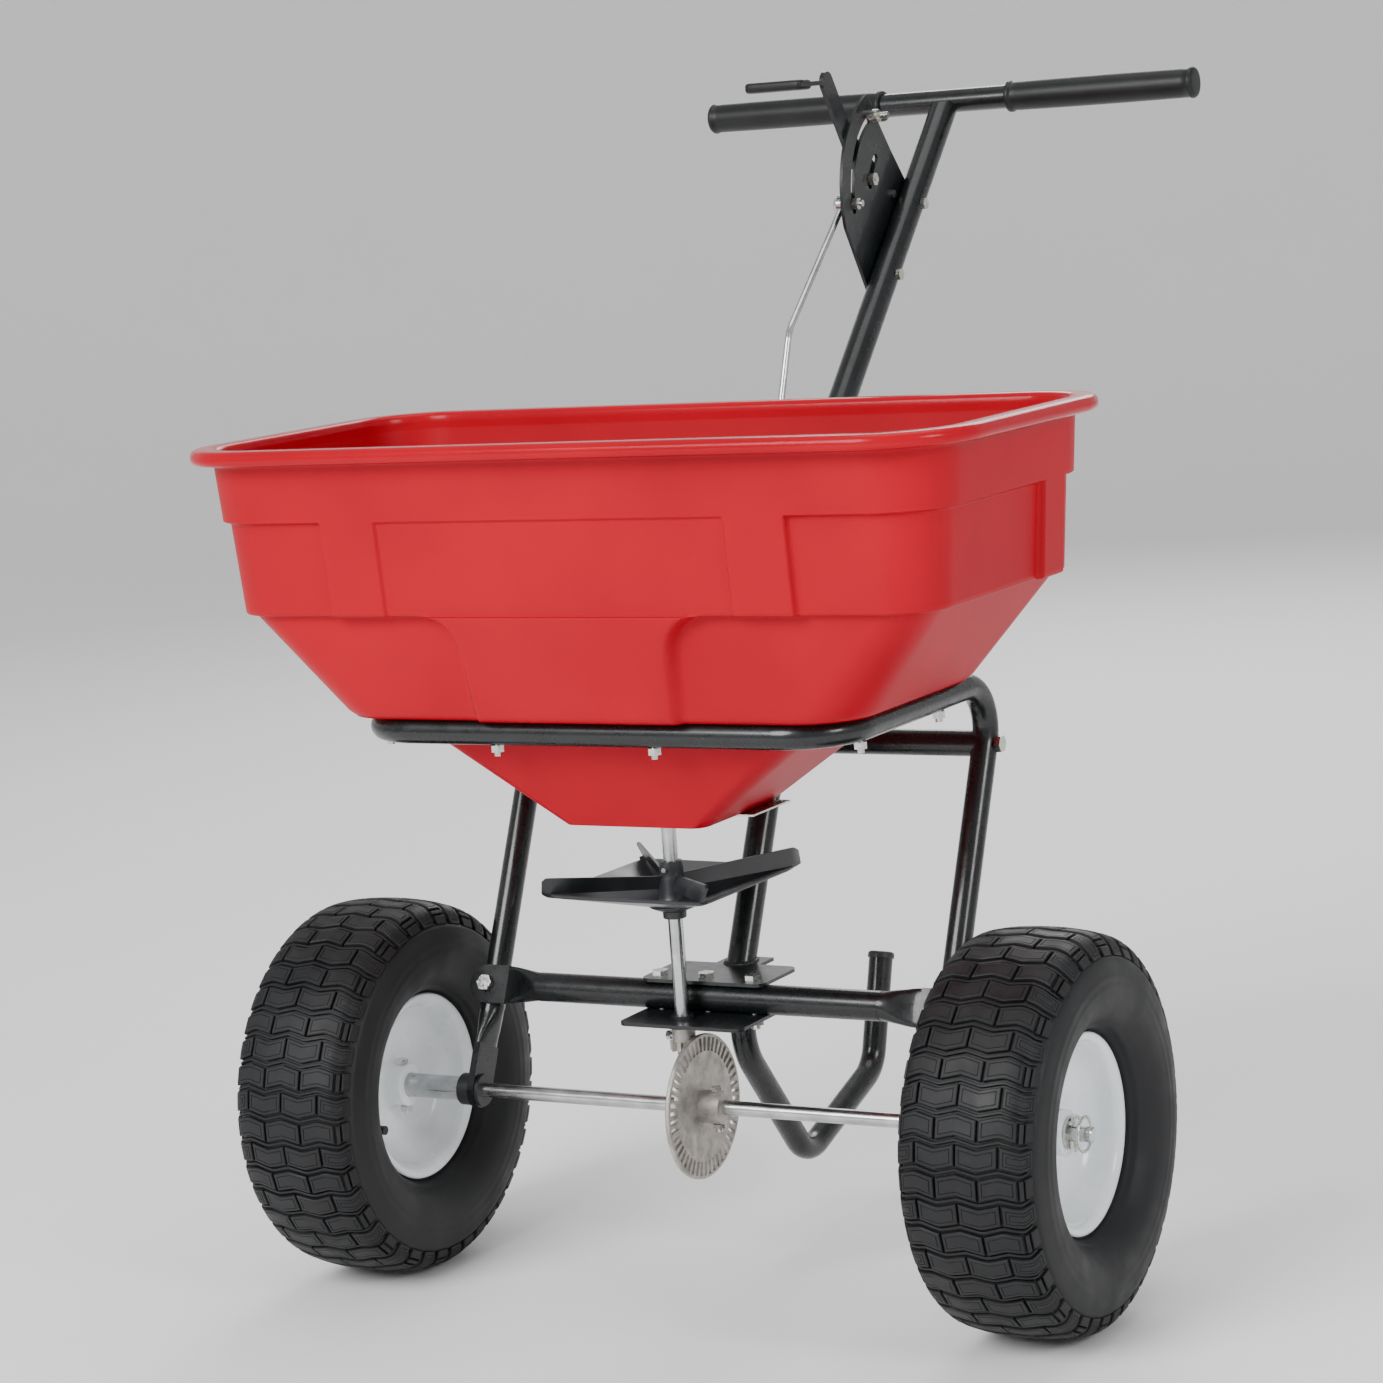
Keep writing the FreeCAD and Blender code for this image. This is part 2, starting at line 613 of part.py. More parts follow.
def mast_bracket_bolts():
    tube = leg_point(REAR_TUBE_UP, 0)
    mast = mast_axis(BRACKET_Z)
    seat_x = MAST_R + BRACKET_T
    cross_seat = mast - V(seat_x, 0, 0)
    cross_far = mast + V(seat_x, 0, 0)
    pieces = [bolt(cross_seat, cross_far + V(M6_TAIL, 0, 0), M6_R, M6_HEAD_FLATS, M6_HEAD_H),
              nut(cross_far, V(1, 0, 0), M6_R, M6_HEAD_FLATS, M6_NUT_H)]
    for x in (-BRACKET_BOLT_X, BRACKET_BOLT_X):
        seat = tube + V(x, FRAME_TUBE_R + BRACKET_T, 0)
        far = tube + V(x, -FRAME_TUBE_R, 0)
        pieces.append(bolt(seat, far - V(0, M6_TAIL, 0), M6_R, M6_HEAD_FLATS, M6_HEAD_H))
        pieces.append(nut(far, V(0, -1, 0), M6_R, M6_HEAD_FLATS, M6_NUT_H))
    return group(pieces)


def handlebar_tube():
    left = V(-HANDLE_HALF_L, HANDLE_Y, HANDLE_Z)
    return ring(HANDLE_R, HANDLE_R - FRAME_WALL, left, V(HANDLE_HALF_L, HANDLE_Y, HANDLE_Z))


def grip_right():
    inner = V(GRIP_INNER_X, HANDLE_Y, HANDLE_Z)
    outer = V(GRIP_END_X, HANDLE_Y, HANDLE_Z)
    sleeve = cyl(GRIP_R, inner, outer)
    ends = [edge for edge in sleeve.Edges if edge.BoundBox.XLength < 0.01]
    sleeve = sleeve.makeChamfer(2.0, ends)
    return sleeve.cut(cyl(HANDLE_R, inner - V(1, 0, 0), V(HANDLE_HALF_L, HANDLE_Y, HANDLE_Z)))


def grip_left():
    return grip_right().mirror(V(0, 0, 0), V(1, 0, 0))


# ---------------------------------------------------------------- stand
def stand_path():
    return [
        V(0, STAND_TOP_Y, LOWER_PLATE_Z),
        V(0, STAND_TOP_Y, LOWER_PLATE_Z - 46),
        V(0, STAND_LOW_Y, STAND_LOW_Z),
        V(0, STAND_REAR_Y, STAND_REAR_Z),
        V(0, STAND_TIP_Y, STAND_TIP_Z),
    ]


def stand_tube():
    return bent_tube(stand_path(), [60.0, STAND_BEND_R, STAND_BEND_R], STAND_R, FRAME_WALL)


def stand_end_cap():
    """Plug with a domed head in the open end of the stand."""
    path = stand_path()
    tip = path[-1]
    way = V(tip - path[-2]).normalize()
    head = cyl(STAND_R + 1.2, tip, tip + way * 6)
    rim = [edge for edge in head.Edges if edge.BoundBox.Center.distanceToPoint(tip + way * 6) < 0.5]
    head = head.makeFillet(3.0, rim)
    return fuse([head, cyl(STAND_R - FRAME_WALL, tip - way * 14, tip)])


# ---------------------------------------------------------------- axle bushings and bearings
def axle_bushing_right():
    """Flanged bush in the leg's flattened end, with a long outer collar."""
    inside = leg_point(0) - V(LEG_FLAT_T / 2, 0, 0)
    outside = leg_point(0) + V(LEG_FLAT_T / 2, 0, 0)
    neck = cyl(LEG_BUSH_R, inside, outside)
    collar = cyl(LEG_BUSH_FLANGE_R, outside, outside + V(LEG_BUSH_L, 0, 0))
    clip = cyl(LEG_BUSH_FLANGE_R, inside - V(3, 0, 0), inside)
    bore = cyl(AXLE_R + RUNNING, inside - V(9, 0, 0), outside + V(LEG_BUSH_L + 9, 0, 0))
    return fuse([neck, collar, clip]).cut(bore)


def axle_bushing_left():
    return axle_bushing_right().mirror(V(0, 0, 0), V(1, 0, 0))


def shaft_bearing_lower():
    """Flanged plastic bearing in the lower clamp plate."""
    x = SHAFT_X
    flange = cyl(BEARING_FLANGE_R, V(x, 0, LOWER_PLATE_Z - BEARING_FLANGE_T), V(x, 0, LOWER_PLATE_Z))
    neck = cyl(BEARING_R, V(x, 0, LOWER_PLATE_Z), V(x, 0, LOWER_PLATE_Z + PLATE_T + 3))
    bore = cyl(SHAFT_R + RUNNING, V(x, 0, LOWER_PLATE_Z - 9), V(x, 0, LOWER_PLATE_Z + 19))
    return fuse([flange, neck]).cut(bore)


def shaft_bearing_upper():
    """Flanged bearing that hangs in the hopper floor."""
    x = SHAFT_X
    top = FLOOR_Z + HOPPER_WALL
    flange = cyl(BEARING_FLANGE_R, V(x, 0, top), V(x, 0, top + 3))
    neck = cyl(BEARING_R, V(x, 0, FLOOR_Z - OUTLET_T), V(x, 0, top))
    bore = cyl(SHAFT_R + RUNNING, V(x, 0, FLOOR_Z - 9), V(x, 0, top + 9))
    return fuse([flange, neck]).cut(bore)


# ---------------------------------------------------------------- hopper
def rounded_box_wire(half_w, front_y, back_y, corner, z):
    """Closed outline of a rectangle with round corners at height z."""
    edges = []
    arms = [(half_w, back_y, 0), (-half_w, back_y, 90), (-half_w, front_y, 180), (half_w, front_y, 270)]
    ends = []
    for x, y, start_deg in arms:
        cx = x - math.copysign(corner, x)
        cy = y - corner if y == back_y else y + corner
        marks = []
        for turn in (0, 45, 90):
            angle = math.radians(start_deg + turn)
            marks.append(V(cx + corner * math.cos(angle), cy + corner * math.sin(angle), z))
        ends.append(marks)
    for k in range(4):
        edges.append(Part.Arc(*ends[k]).toShape())
        edges.append(Part.makeLine(ends[k][2], ends[(k + 1) % 4][0]))
    return Part.Wire(edges)


def loft(wires):
    return Part.makeLoft(wires, True, True)


def wall_wire(z, inset):
    """Outline of the hopper's drafted wall at a height, moved in by inset."""
    come_in = HOPPER_DRAFT * (LIP_Z - z) + inset
    corner = max(HOPPER_CORNER_R - come_in, 12.0)
    half_d = HOPPER_HALF_D - come_in
    return rounded_box_wire(HOPPER_HALF_W - come_in, HOPPER_Y - half_d, HOPPER_Y + half_d, corner, z)


def shelf_wire(z, inset):
    return rounded_box_wire(SHELF_HALF_W - inset, SHELF_FRONT_Y + inset, SHELF_BACK_Y - inset,
                            SHELF_CORNER_R - inset, z)


def funnel_wire(z, inset):
    """Top of the funnel, inside the cradle tube."""
    half_w = FRAME_HALF_W - FRAME_TUBE_R - FUNNEL_GAP - inset
    front = CRADLE_FRONT_Y + FRAME_TUBE_R + FUNNEL_GAP + inset
    return rounded_box_wire(half_w, front, SHELF_BACK_Y - 12 - inset, 30 - inset, z)


def floor_wire(z, inset):
    return rounded_box_wire(FLOOR_HALF_W - inset, FLOOR_FRONT_Y + inset, FLOOR_BACK_Y - inset,
                            FLOOR_CORNER_R - inset / 2, z)


def hopper_pilasters():
    """Full-depth stretches of the panelled band that stand out between its recesses."""
    full = loft([wall_wire(WAIST_Z, 0), wall_wire(BAND_Z, 0)])
    deep = 2 * HOPPER_HALF_D
    keep = []
    for side in (-1, 1):
        x0, x1 = sorted((side * PILASTER_INNER_X, side * PILASTER_X))
        keep.append(block(x0, x1, HOPPER_Y - deep, HOPPER_Y + deep, WAIST_Z, BAND_Z))
    wide = 2 * HOPPER_HALF_W
    side_y = HOPPER_Y + SIDE_PILASTER_Y
    keep.append(block(-wide, wide, side_y, side_y + 40, WAIST_Z, BAND_Z))
    return [full.common(piece) for piece in keep]


def hopper_bulge():
    """The front panel that carries the band's face down to the cradle."""
    top_y = HOPPER_Y - HOPPER_HALF_D + HOPPER_DRAFT * (LIP_Z - BAND_Z)
    foot_y = SHELF_FRONT_Y - 8
    points = []
    for half, z in ((BULGE_TOP_X + 30, BAND_Z), (BULGE_TOP_X, WAIST_Z - 20), (BULGE_FOOT_X, SHELF_Z)):
        share = (BAND_Z - z) / (BAND_Z - SHELF_Z)
        points.append((half, top_y + (foot_y - top_y) * share, z))
    back = HOPPER_Y
    wires = []
    for half, y, z in points:
        corners = [V(-half, y, z), V(half, y, z), V(half - 6, back, z), V(-half + 6, back, z)]
        wires.append(Part.makePolygon(corners + corners[:1]))
    return loft(wires)


def hopper_outside():
    lip = Part.Face(wall_wire(LIP_Z, -LIP_OUT)).extrude(V(0, 0, LIP_H))
    rims = [edge for edge in lip.Edges if edge.BoundBox.ZLength < 0.01]
    lip = lip.makeFillet(5.0, rims)
    band = loft([wall_wire(BAND_Z, 0), wall_wire(LIP_Z + 2, 0)])
    panels = loft([wall_wire(WAIST_Z, RECESS), wall_wire(BAND_Z, RECESS)])
    taper = loft([shelf_wire(SHELF_Z, 0), wall_wire(WAIST_Z, RECESS + WAIST_STEP)])
    funnel = loft([floor_wire(FLOOR_Z, 0), funnel_wire(SHELF_Z, 0)])
    return fuse([lip, band, panels, taper, funnel, hopper_bulge()] + hopper_pilasters())


def hopper_inside():
    """The space that holds the material, one wall thickness inside the shell."""
    top = LIP_Z + LIP_H + 1
    mouth = loft([wall_wire(WAIST_Z + HOPPER_WALL, RECESS + HOPPER_WALL),
                  wall_wire(top, RECESS + HOPPER_WALL)])
    taper = loft([shelf_wire(SHELF_Z + HOPPER_WALL, HOPPER_WALL),
                  wall_wire(WAIST_Z + HOPPER_WALL, RECESS + WAIST_STEP + HOPPER_WALL)])
    funnel = loft([floor_wire(FLOOR_Z + HOPPER_WALL, HOPPER_WALL),
                   funnel_wire(SHELF_Z + HOPPER_WALL, HOPPER_WALL)])
    return [mouth, taper, funnel]


def hopper_lip_groove():
    """The hollow underside of the rolled lip."""
    outer = Part.Face(wall_wire(LIP_Z, -LIP_OUT + 3.5)).extrude(V(0, 0, 7))
    inner = Part.Face(wall_wire(LIP_Z, -4.0)).extrude(V(0, 0, 7))
    return outer.cut(inner)


def port_spots():
    start = SHAFT_X - PORT_PITCH * (PORT_COUNT - 1) / 2
    return [(start + PORT_PITCH * k, PORT_Y) for k in range(PORT_COUNT)]


def port_cutters(z0, z1):
    return [cyl(PORT_R, V(x, y, z0), V(x, y, z1)) for x, y in port_spots()]


def hopper():
    cutters = hopper_inside() + [hopper_lip_groove()]
    for x, y in bolt_spots_on_cradle():
        cutters.append(cyl(M6_R + BOLT_FREE, V(x, y, SHELF_Z - 2), V(x, y, SHELF_Z + HOPPER_WALL + 2)))
    cutters.append(cyl(BEARING_R, V(SHAFT_X, 0, FLOOR_Z - 2), V(SHAFT_X, 0, FLOOR_Z + HOPPER_WALL + 2)))
    cutters += port_cutters(FLOOR_Z - 2, FLOOR_Z + HOPPER_WALL + 2)
    for x, y in outlet_screw_spots():
        cutters.append(cyl(M6_R, V(x, y, FLOOR_Z - 2), V(x, y, FLOOR_Z + HOPPER_WALL + 2)))
    return hopper_outside().cut(cutters)


def hopper_bolts():
    """Bolts from inside the hopper down through its shelf and the cradle tube."""
    seat = SHELF_Z + HOPPER_WALL
    low = RAIL_Z - FRAME_TUBE_R - 9
    return group([bolt(V(x, y, seat), V(x, y, low), M6_R, M6_HEAD_FLATS, M6_HEAD_H)
                  for x, y in bolt_spots_on_cradle()])


def hopper_nuts():
    down = V(0, 0, -1)
    return group([nut(V(x, y, RAIL_Z - FRAME_TUBE_R), down, M6_R, M6_HEAD_FLATS, 5.5)
                  for x, y in bolt_spots_on_cradle()])


# ---------------------------------------------------------------- outlet and gate
def outlet_screw_spots():
    return [(x, y) for x in (-56.0, 48.0) for y in (0.0, 40.0)]


def outlet_plate():
    low = FLOOR_Z - OUTLET_T
    plate = block(-OUTLET_HALF_W, OUTLET_HALF_W, OUTLET_FRONT_Y, FLOOR_BACK_Y, low, FLOOR_Z)
    cutters = port_cutters(low - 1, FLOOR_Z + 1)
    cutters.append(cyl(BEARING_R, V(SHAFT_X, 0, low - 1), V(SHAFT_X, 0, FLOOR_Z + 1)))
    for x, y in outlet_screw_spots():
        cutters.append(cyl(M6_R, V(x, y, low - 1), V(x, y, FLOOR_Z + 1)))
    return plate.cut(cutters)


def outlet_screws():
    """Screws up through the outlet plate and the hopper floor, with nuts inside."""
    pieces = []
    low = FLOOR_Z - OUTLET_T
    top = FLOOR_Z + HOPPER_WALL
    for x, y in outlet_screw_spots():
        pieces.append(bolt(V(x, y, low), V(x, y, top + 5), M6_R, M6_HEAD_FLATS, 2.5))
        pieces.append(nut(V(x, y, top), V(0, 0, 1), M6_R, M6_HEAD_FLATS, 4))
    return group(pieces)


def gate_guides():
    """Two folded strips under the outlet plate that carry the gate's edges."""
    low = GATE_Z - MOVING
    top = FLOOR_Z - OUTLET_T
    inner = GATE_HALF_W + MOVING
    pieces = []
    for side in (-1, 1):
        wall = sorted((SHAFT_X + side * inner, SHAFT_X + side * (inner + 2)))
        foot = sorted((SHAFT_X + side * (inner - 6), SHAFT_X + side * (inner + 2)))
        upright = block(wall[0], wall[1], GATE_FRONT_Y - 6, GUIDE_END_Y, low - 1.5, top)
        ledge = block(foot[0], foot[1], GATE_FRONT_Y - 6, GUIDE_END_Y, low - 1.5, low)
        pieces.append(fuse([upright, ledge]))
    return group(pieces)


def shutoff_gate():
    """Flat slide under the ports with a tail and an ear that the control rod pulls."""
    body = block(SHAFT_X - GATE_HALF_W, SHAFT_X + GATE_HALF_W, GATE_FRONT_Y, GATE_BACK_Y,
                 GATE_Z, GATE_Z + GATE_T)
    tail_x = ROD_X + ROD_R + MOVING
    tail = block(tail_x + GATE_T - GATE_TAIL_W, tail_x + GATE_T, GATE_BACK_Y - 5, GATE_TAIL_Y, GATE_Z,
                 GATE_Z + GATE_T)
    ear = block(tail_x, tail_x + GATE_T, GATE_TAIL_Y - GATE_EAR_L, GATE_TAIL_Y, GATE_Z, GATE_Z + GATE_EAR_H)
    hook = hook_point()
    slot = strip((hook.y - HOOK_PLAY, hook.z), (hook.y + HOOK_PLAY, hook.z), 2 * (ROD_R + HOOK_PLAY),
                 tail_x - 1, tail_x + GATE_T + 1)
    return fuse([body, tail, ear]).cut(slot)


# ---------------------------------------------------------------- axle, disc and wheels
def axle():
    bar = cyl(AXLE_R, V(AXLE_LEFT_X, 0, 0), V(AXLE_RIGHT_X, 0, 0))
    rims = [edge for edge in bar.Edges if edge.BoundBox.XLength < 0.01]
    bar = bar.makeChamfer(1.0, rims)
    pin_x = -WHEEL_X + HUB_BOLT_X
    drive_hole = cyl(M6_R, V(pin_x, 0, -20), V(pin_x, 0, 20))
    disc_hole = cyl(M6_R, V(GEAR_PIN_X, 0, -20), V(GEAR_PIN_X, 0, 20))
    linch_hole = cyl(LINCH_R, V(LINCH_X, 0, -20), V(LINCH_X, 0, 20))
    return bar.cut([drive_hole, disc_hole, linch_hole])


def drive_gear():
    """Cast disc with radial slots near its edge, and a hub on one side."""
    disc = cyl(GEAR_R, V(GEAR_X, 0, 0), V(GEAR_X + GEAR_T, 0, 0))
    rims = [edge for edge in disc.Edges if edge.BoundBox.XLength < 0.01]
    disc = disc.makeFillet(1.2, rims)
    hub = cyl(GEAR_HUB_R, V(GEAR_X + GEAR_T, 0, 0), V(GEAR_HUB_END_X, 0, 0))
    body = fuse([disc, hub])
    slot = block(GEAR_X - 1, GEAR_X + GEAR_T + 1, -GEAR_SLOT_W / 2, GEAR_SLOT_W / 2,
                 GEAR_SLOT_IN_R, GEAR_SLOT_OUT_R)
    cutters = []
    for k in range(GEAR_SLOTS):
        turned = slot.copy()
        turned.rotate(V(0, 0, 0), V(1, 0, 0), 360.0 * k / GEAR_SLOTS)
        cutters.append(turned)
    cutters.append(cyl(AXLE_R, V(-60, 0, 0), V(60, 0, 0)))
    cutters.append(cyl(M6_R, V(GEAR_PIN_X, 0, -30), V(GEAR_PIN_X, 0, 30)))
    return body.cut(cutters)


def gear_drive_bolt():
    """Bolt and nut straight through the disc's hub and the axle."""
    flat = GEAR_HUB_R
    screw = bolt(V(GEAR_PIN_X, 0, flat), V(GEAR_PIN_X, 0, -flat - 7), M6_R, M6_HEAD_FLATS - 2, M6_HEAD_H)
    holder = nut(V(GEAR_PIN_X, 0, -flat), V(0, 0, -1), M6_R, M6_HEAD_FLATS, 4)
    return group([screw, holder])


def spacer_sleeve():
    start = -(FRAME_HALF_W + LEG_FLAT_T / 2 + LEG_BUSH_L + MOVING)
    return ring(10.5, AXLE_R, V(-WHEEL_X + HUB_HALF_L, 0, 0), V(start, 0, 0))


def right_spacer():
    """Loose sleeve that keeps the right wheel off the frame."""
    start = FRAME_HALF_W + LEG_FLAT_T / 2 + LEG_BUSH_L + MOVING
    return ring(10.5, AXLE_R, V(start, 0, 0), V(WHEEL_X - HUB_HALF_L - MOVING, 0, 0))


def revolve_profile(points, x_middle):
    """Solid turned about the axle from (x, radius) points, x measured from the wheel's middle."""
    wire = Part.makePolygon([V(x_middle + x, 0, r) for x, r in points + points[:1]])
    return Part.Face(wire).revolve(V(0, 0, 0), V(1, 0, 0), 360)


def wheel_rim(x_middle):
    """Pressed rim of two dished halves welded at the web, with the hub tube through it."""
    lip = RIM_LIP_R
    bead = lip - 9
    wide = RIM_HALF_W - RIM_T
    seat = wide - TYRE_WALL - 1
    right = [(RIM_HALF_W, lip), (RIM_HALF_W, bead - RIM_T), (seat - 2, bead - RIM_T),
             (WEB_HALF_W, RIM_WELL_R - RIM_T), (RIM_T, RIM_WELL_R - RIM_T - 8), (RIM_T / 2, HUB_R - 1)]
    inside = [(wide, lip), (wide, bead), (seat, bead), (WEB_HALF_W, RIM_WELL_R)]
    outline = [(-x, r) for x, r in inside] + inside[::-1] + right
    outline += [(-x, r) for x, r in right[::-1]]
    shell = revolve_profile(outline, x_middle)
    hub = cyl(HUB_R, V(x_middle - HUB_HALF_L, 0, 0), V(x_middle + HUB_HALF_L, 0, 0))
    bore = cyl(AXLE_R + BUSH_WALL, V(x_middle - 60, 0, 0), V(x_middle + 60, 0, 0))
    bolt_x = x_middle + HUB_BOLT_X
    hub_bolt = cyl(M6_R, V(bolt_x, 0, -30), V(bolt_x, 0, 30))
    valve = cyl(VALVE_R, V(x_middle + 8, 0, VALVE_AT_R), V(x_middle + 60, 0, VALVE_AT_R))
    valve.rotate(V(0, 0, 0), V(1, 0, 0), VALVE_DEG)
    return fuse([shell, hub]).cut([bore, hub_bolt, valve])


def tyre_edges(half, radius, side, foot):
    """Outline of a tyre from its right foot over the tread to its left foot, (x, radius)."""
    shoulder = radius - 17
    belly = radius - 45
    start = V(side, 0, foot)
    return [
        Part.Arc(start, V(half, 0, belly), V(half - 6, 0, shoulder)).toShape(),
        Part.Arc(V(half - 6, 0, shoulder), V(half - 11, 0, radius - 9),
                 V(half - 20, 0, radius - 4)).toShape(),
        Part.Arc(V(half - 20, 0, radius - 4), V(0, 0, radius), V(20 - half, 0, radius - 4)).toShape(),
        Part.Arc(V(20 - half, 0, radius - 4), V(11 - half, 0, radius - 9),
                 V(6 - half, 0, shoulder)).toShape(),
        Part.Arc(V(6 - half, 0, shoulder), V(-half, 0, belly), V(-side, 0, foot)).toShape(),
    ]


def wheel_tyre(x_middle):
    """Pneumatic tyre: a casing open towards the rim, seated on its two bead seats."""
    side = RIM_HALF_W - RIM_T
    bead = RIM_LIP_R - 9
    outer = tyre_edges(TYRE_W / 2, TYRE_R, side + 6, RIM_LIP_R + 4)
    inner = tyre_edges(TYRE_W / 2 - TYRE_WALL, TYRE_R - TYRE_WALL - 2, side - TYRE_WALL, RIM_LIP_R + 4)
    edges = outer + inner
    for turn in (1, -1):
        foot = [V(turn * (side + 6), 0, RIM_LIP_R + 4), V(turn * side, 0, RIM_LIP_R + 1),
                V(turn * side, 0, bead),
                V(turn * (side - TYRE_WALL), 0, bead), V(turn * (side - TYRE_WALL), 0, RIM_LIP_R + 4)]
        for k in range(4):
            edges.append(Part.makeLine(foot[k], foot[k + 1]))
    outline = Part.Wire(Part.__sortEdges__(edges))
    tyre = Part.Face(outline).revolve(V(0, 0, 0), V(1, 0, 0), 360)
    tyre.translate(V(x_middle, 0, 0))
    return tyre


def hub_bushes(x_middle, bore_r):
    """Flanged plastic bush in each end of the hub."""
    pieces = []
    for side in (-1, 1):
        face = x_middle + side * HUB_HALF_L
        inner = face - side * 16
        sleeve = cyl(AXLE_R + BUSH_WALL, V(inner, 0, 0), V(face, 0, 0))
        bore = cyl(bore_r, V(x_middle - 60, 0, 0), V(x_middle + 60, 0, 0))
        cross = cyl(M6_R, V(x_middle + HUB_BOLT_X, 0, -30), V(x_middle + HUB_BOLT_X, 0, 30))
        pieces.append(sleeve.cut([bore, cross]))
    return pieces


def valve_stem(x_middle):
    """Rubber snap-in valve with its cap, through the rim wall."""
    x0 = x_middle + 13
    x1 = x0 + VALVE_L
    stem = cyl(VALVE_R, V(x0, 0, VALVE_AT_R), V(x1, 0, VALVE_AT_R))
    stem.rotate(V(0, 0, 0), V(1, 0, 0), VALVE_DEG)
    return stem


def wheel_drive_bolt():
    """Bolt and nut that pin the left wheel's hub to the axle."""
    x = -WHEEL_X + HUB_BOLT_X
    screw = bolt(V(x, 0, HUB_R), V(x, 0, -HUB_R - 7), M6_R, M6_HEAD_FLATS, M6_HEAD_H)
    return group([screw, nut(V(x, 0, -HUB_R), V(0, 0, -1), M6_R, M6_HEAD_FLATS, M6_NUT_H)])


def axle_washers():
    """One washer outside each wheel's hub."""
    left = -WHEEL_X - HUB_HALF_L
    return group([ring(13.0, AXLE_R, V(left - WASHER_T, 0, 0), V(left, 0, 0)),
                  ring(13.0, AXLE_R, V(WASHER_X, 0, 0), V(WASHER_X + WASHER_T, 0, 0))])


def linch_pin():
    """Pin through the axle with its spring ring folded over the axle's end."""
    pin = cyl(LINCH_R, V(LINCH_X, 0, -15), V(LINCH_X, 0, 12))
    head = cyl(LINCH_HEAD_R, V(LINCH_X, 0, 10), V(LINCH_X, 0, 15))
    loop = Part.makeTorus(LINCH_LOOP_R, 1.4, V(LINCH_X + 8, 0, 0), V(1, 0, 0))
    joints = [cyl(1.4, V(LINCH_X, 0, 13), V(LINCH_X + 8, 0, 13.4))]
    return fuse([pin, head, loop] + joints)


# ---------------------------------------------------------------- spinner
def spinner_shaft():
    shaft = cyl(SHAFT_R, V(SHAFT_X, 0, PINION_Z - 4), V(SHAFT_X, 0, AGITATOR_Z + 10))
    holes = [cyl(PIN_R, V(SHAFT_X, -20, z), V(SHAFT_X, 20, z)) for z in (IMPELLER_PIN_Z, AGITATOR_Z)]
    return shaft.cut(holes)


def fin():
    """One upright fin along +X from the hub, its lower edge rising towards the tip."""
    low = IMPELLER_Z + IMPELLER_T
    high = low + FIN_H
    inner = (SHAFT_R + IMPELLER_HUB_R) / 2
    outline = [(inner, low), (IMPELLER_PLATE_R, low), (IMPELLER_R, low + FIN_RISE),
               (IMPELLER_R - 2, high), (inner, high + 2)]
    points = [V(x, -FIN_T / 2, z) for x, z in outline]
    return Part.Face(Part.makePolygon(points + points[:1])).extrude(V(0, FIN_T, 0))


def impeller():
    plate = cyl(IMPELLER_PLATE_R, V(0, 0, IMPELLER_Z), V(0, 0, IMPELLER_Z + IMPELLER_T))
    hub = cyl(IMPELLER_HUB_R, V(0, 0, IMPELLER_Z - 11), V(0, 0, IMPELLER_Z + 38))
    fins = []
    for k in range(FIN_COUNT):
        blade = fin()
        blade.rotate(V(0, 0, 0), V(0, 0, 1), FIN_PHASE + 360.0 * k / FIN_COUNT)
        fins.append(blade)
    body = fuse([plate, hub] + fins)
    body.translate(V(SHAFT_X, 0, 0))
    bore = cyl(SHAFT_R, V(SHAFT_X, 0, 0), V(SHAFT_X, 0, 400))
    pin = cyl(PIN_R, V(SHAFT_X, -20, IMPELLER_PIN_Z), V(SHAFT_X, 20, IMPELLER_PIN_Z))
    return body.cut([bore, pin])


def shaft_pins():
    """Cross pins through the shaft: one holds the impeller, one stirs above the outlet."""
    pins = []
    for reach, z in ((IMPELLER_HUB_R + 1, IMPELLER_PIN_Z), (30.0, AGITATOR_Z)):
        pins.append(cyl(PIN_R, V(SHAFT_X, -reach, z), V(SHAFT_X, reach, z)))
    return group(pins)


def pinion_tooth():
    root = PINION_ROOT_W / 2
    tip = PINION_TIP_W / 2
    inner = PINION_ROOT_R - 1
    points = [V(inner, -root, PINION_Z), V(PINION_TIP_R, -tip, PINION_Z), V(PINION_TIP_R, tip, PINION_Z),
              V(inner, root, PINION_Z)]
    return Part.Face(Part.makePolygon(points + points[:1])).extrude(V(0, 0, PINION_H))


def pinion():
    """Small toothed wheel on the shaft, with the collar that holds it."""
    core = cyl(PINION_ROOT_R, V(0, 0, PINION_Z), V(0, 0, PINION_Z + PINION_H))
    collar = cyl(PINION_COLLAR_R, V(0, 0, PINION_Z + PINION_H), V(0, 0, COLLAR_TOP_Z))
    teeth = []
    for k in range(PINION_TEETH):
        tooth = pinion_tooth()
        tooth.rotate(V(0, 0, 0), V(0, 0, 1), 360.0 * k / PINION_TEETH)
        teeth.append(tooth)
    body = fuse([core, collar] + teeth)
    body.translate(V(SHAFT_X, 0, 0))
    bore = cyl(SHAFT_R, V(SHAFT_X, 0, 0), V(SHAFT_X, 0, 100))
    screw = cyl(SET_SCREW_R, V(SHAFT_X - 20, 0, SET_SCREW_Z), V(SHAFT_X, 0, SET_SCREW_Z))
    return body.cut([bore, screw])


def pinion_set_screw():
    head_x = SHAFT_X - PINION_COLLAR_R - 2
    screw = cyl(SET_SCREW_R, V(head_x, 0, SET_SCREW_Z), V(SHAFT_X - SHAFT_R, 0, SET_SCREW_Z))
    head = hexagon(7.0, V(head_x - 4, 0, SET_SCREW_Z), V(head_x, 0, SET_SCREW_Z))
    return fuse([head, screw])


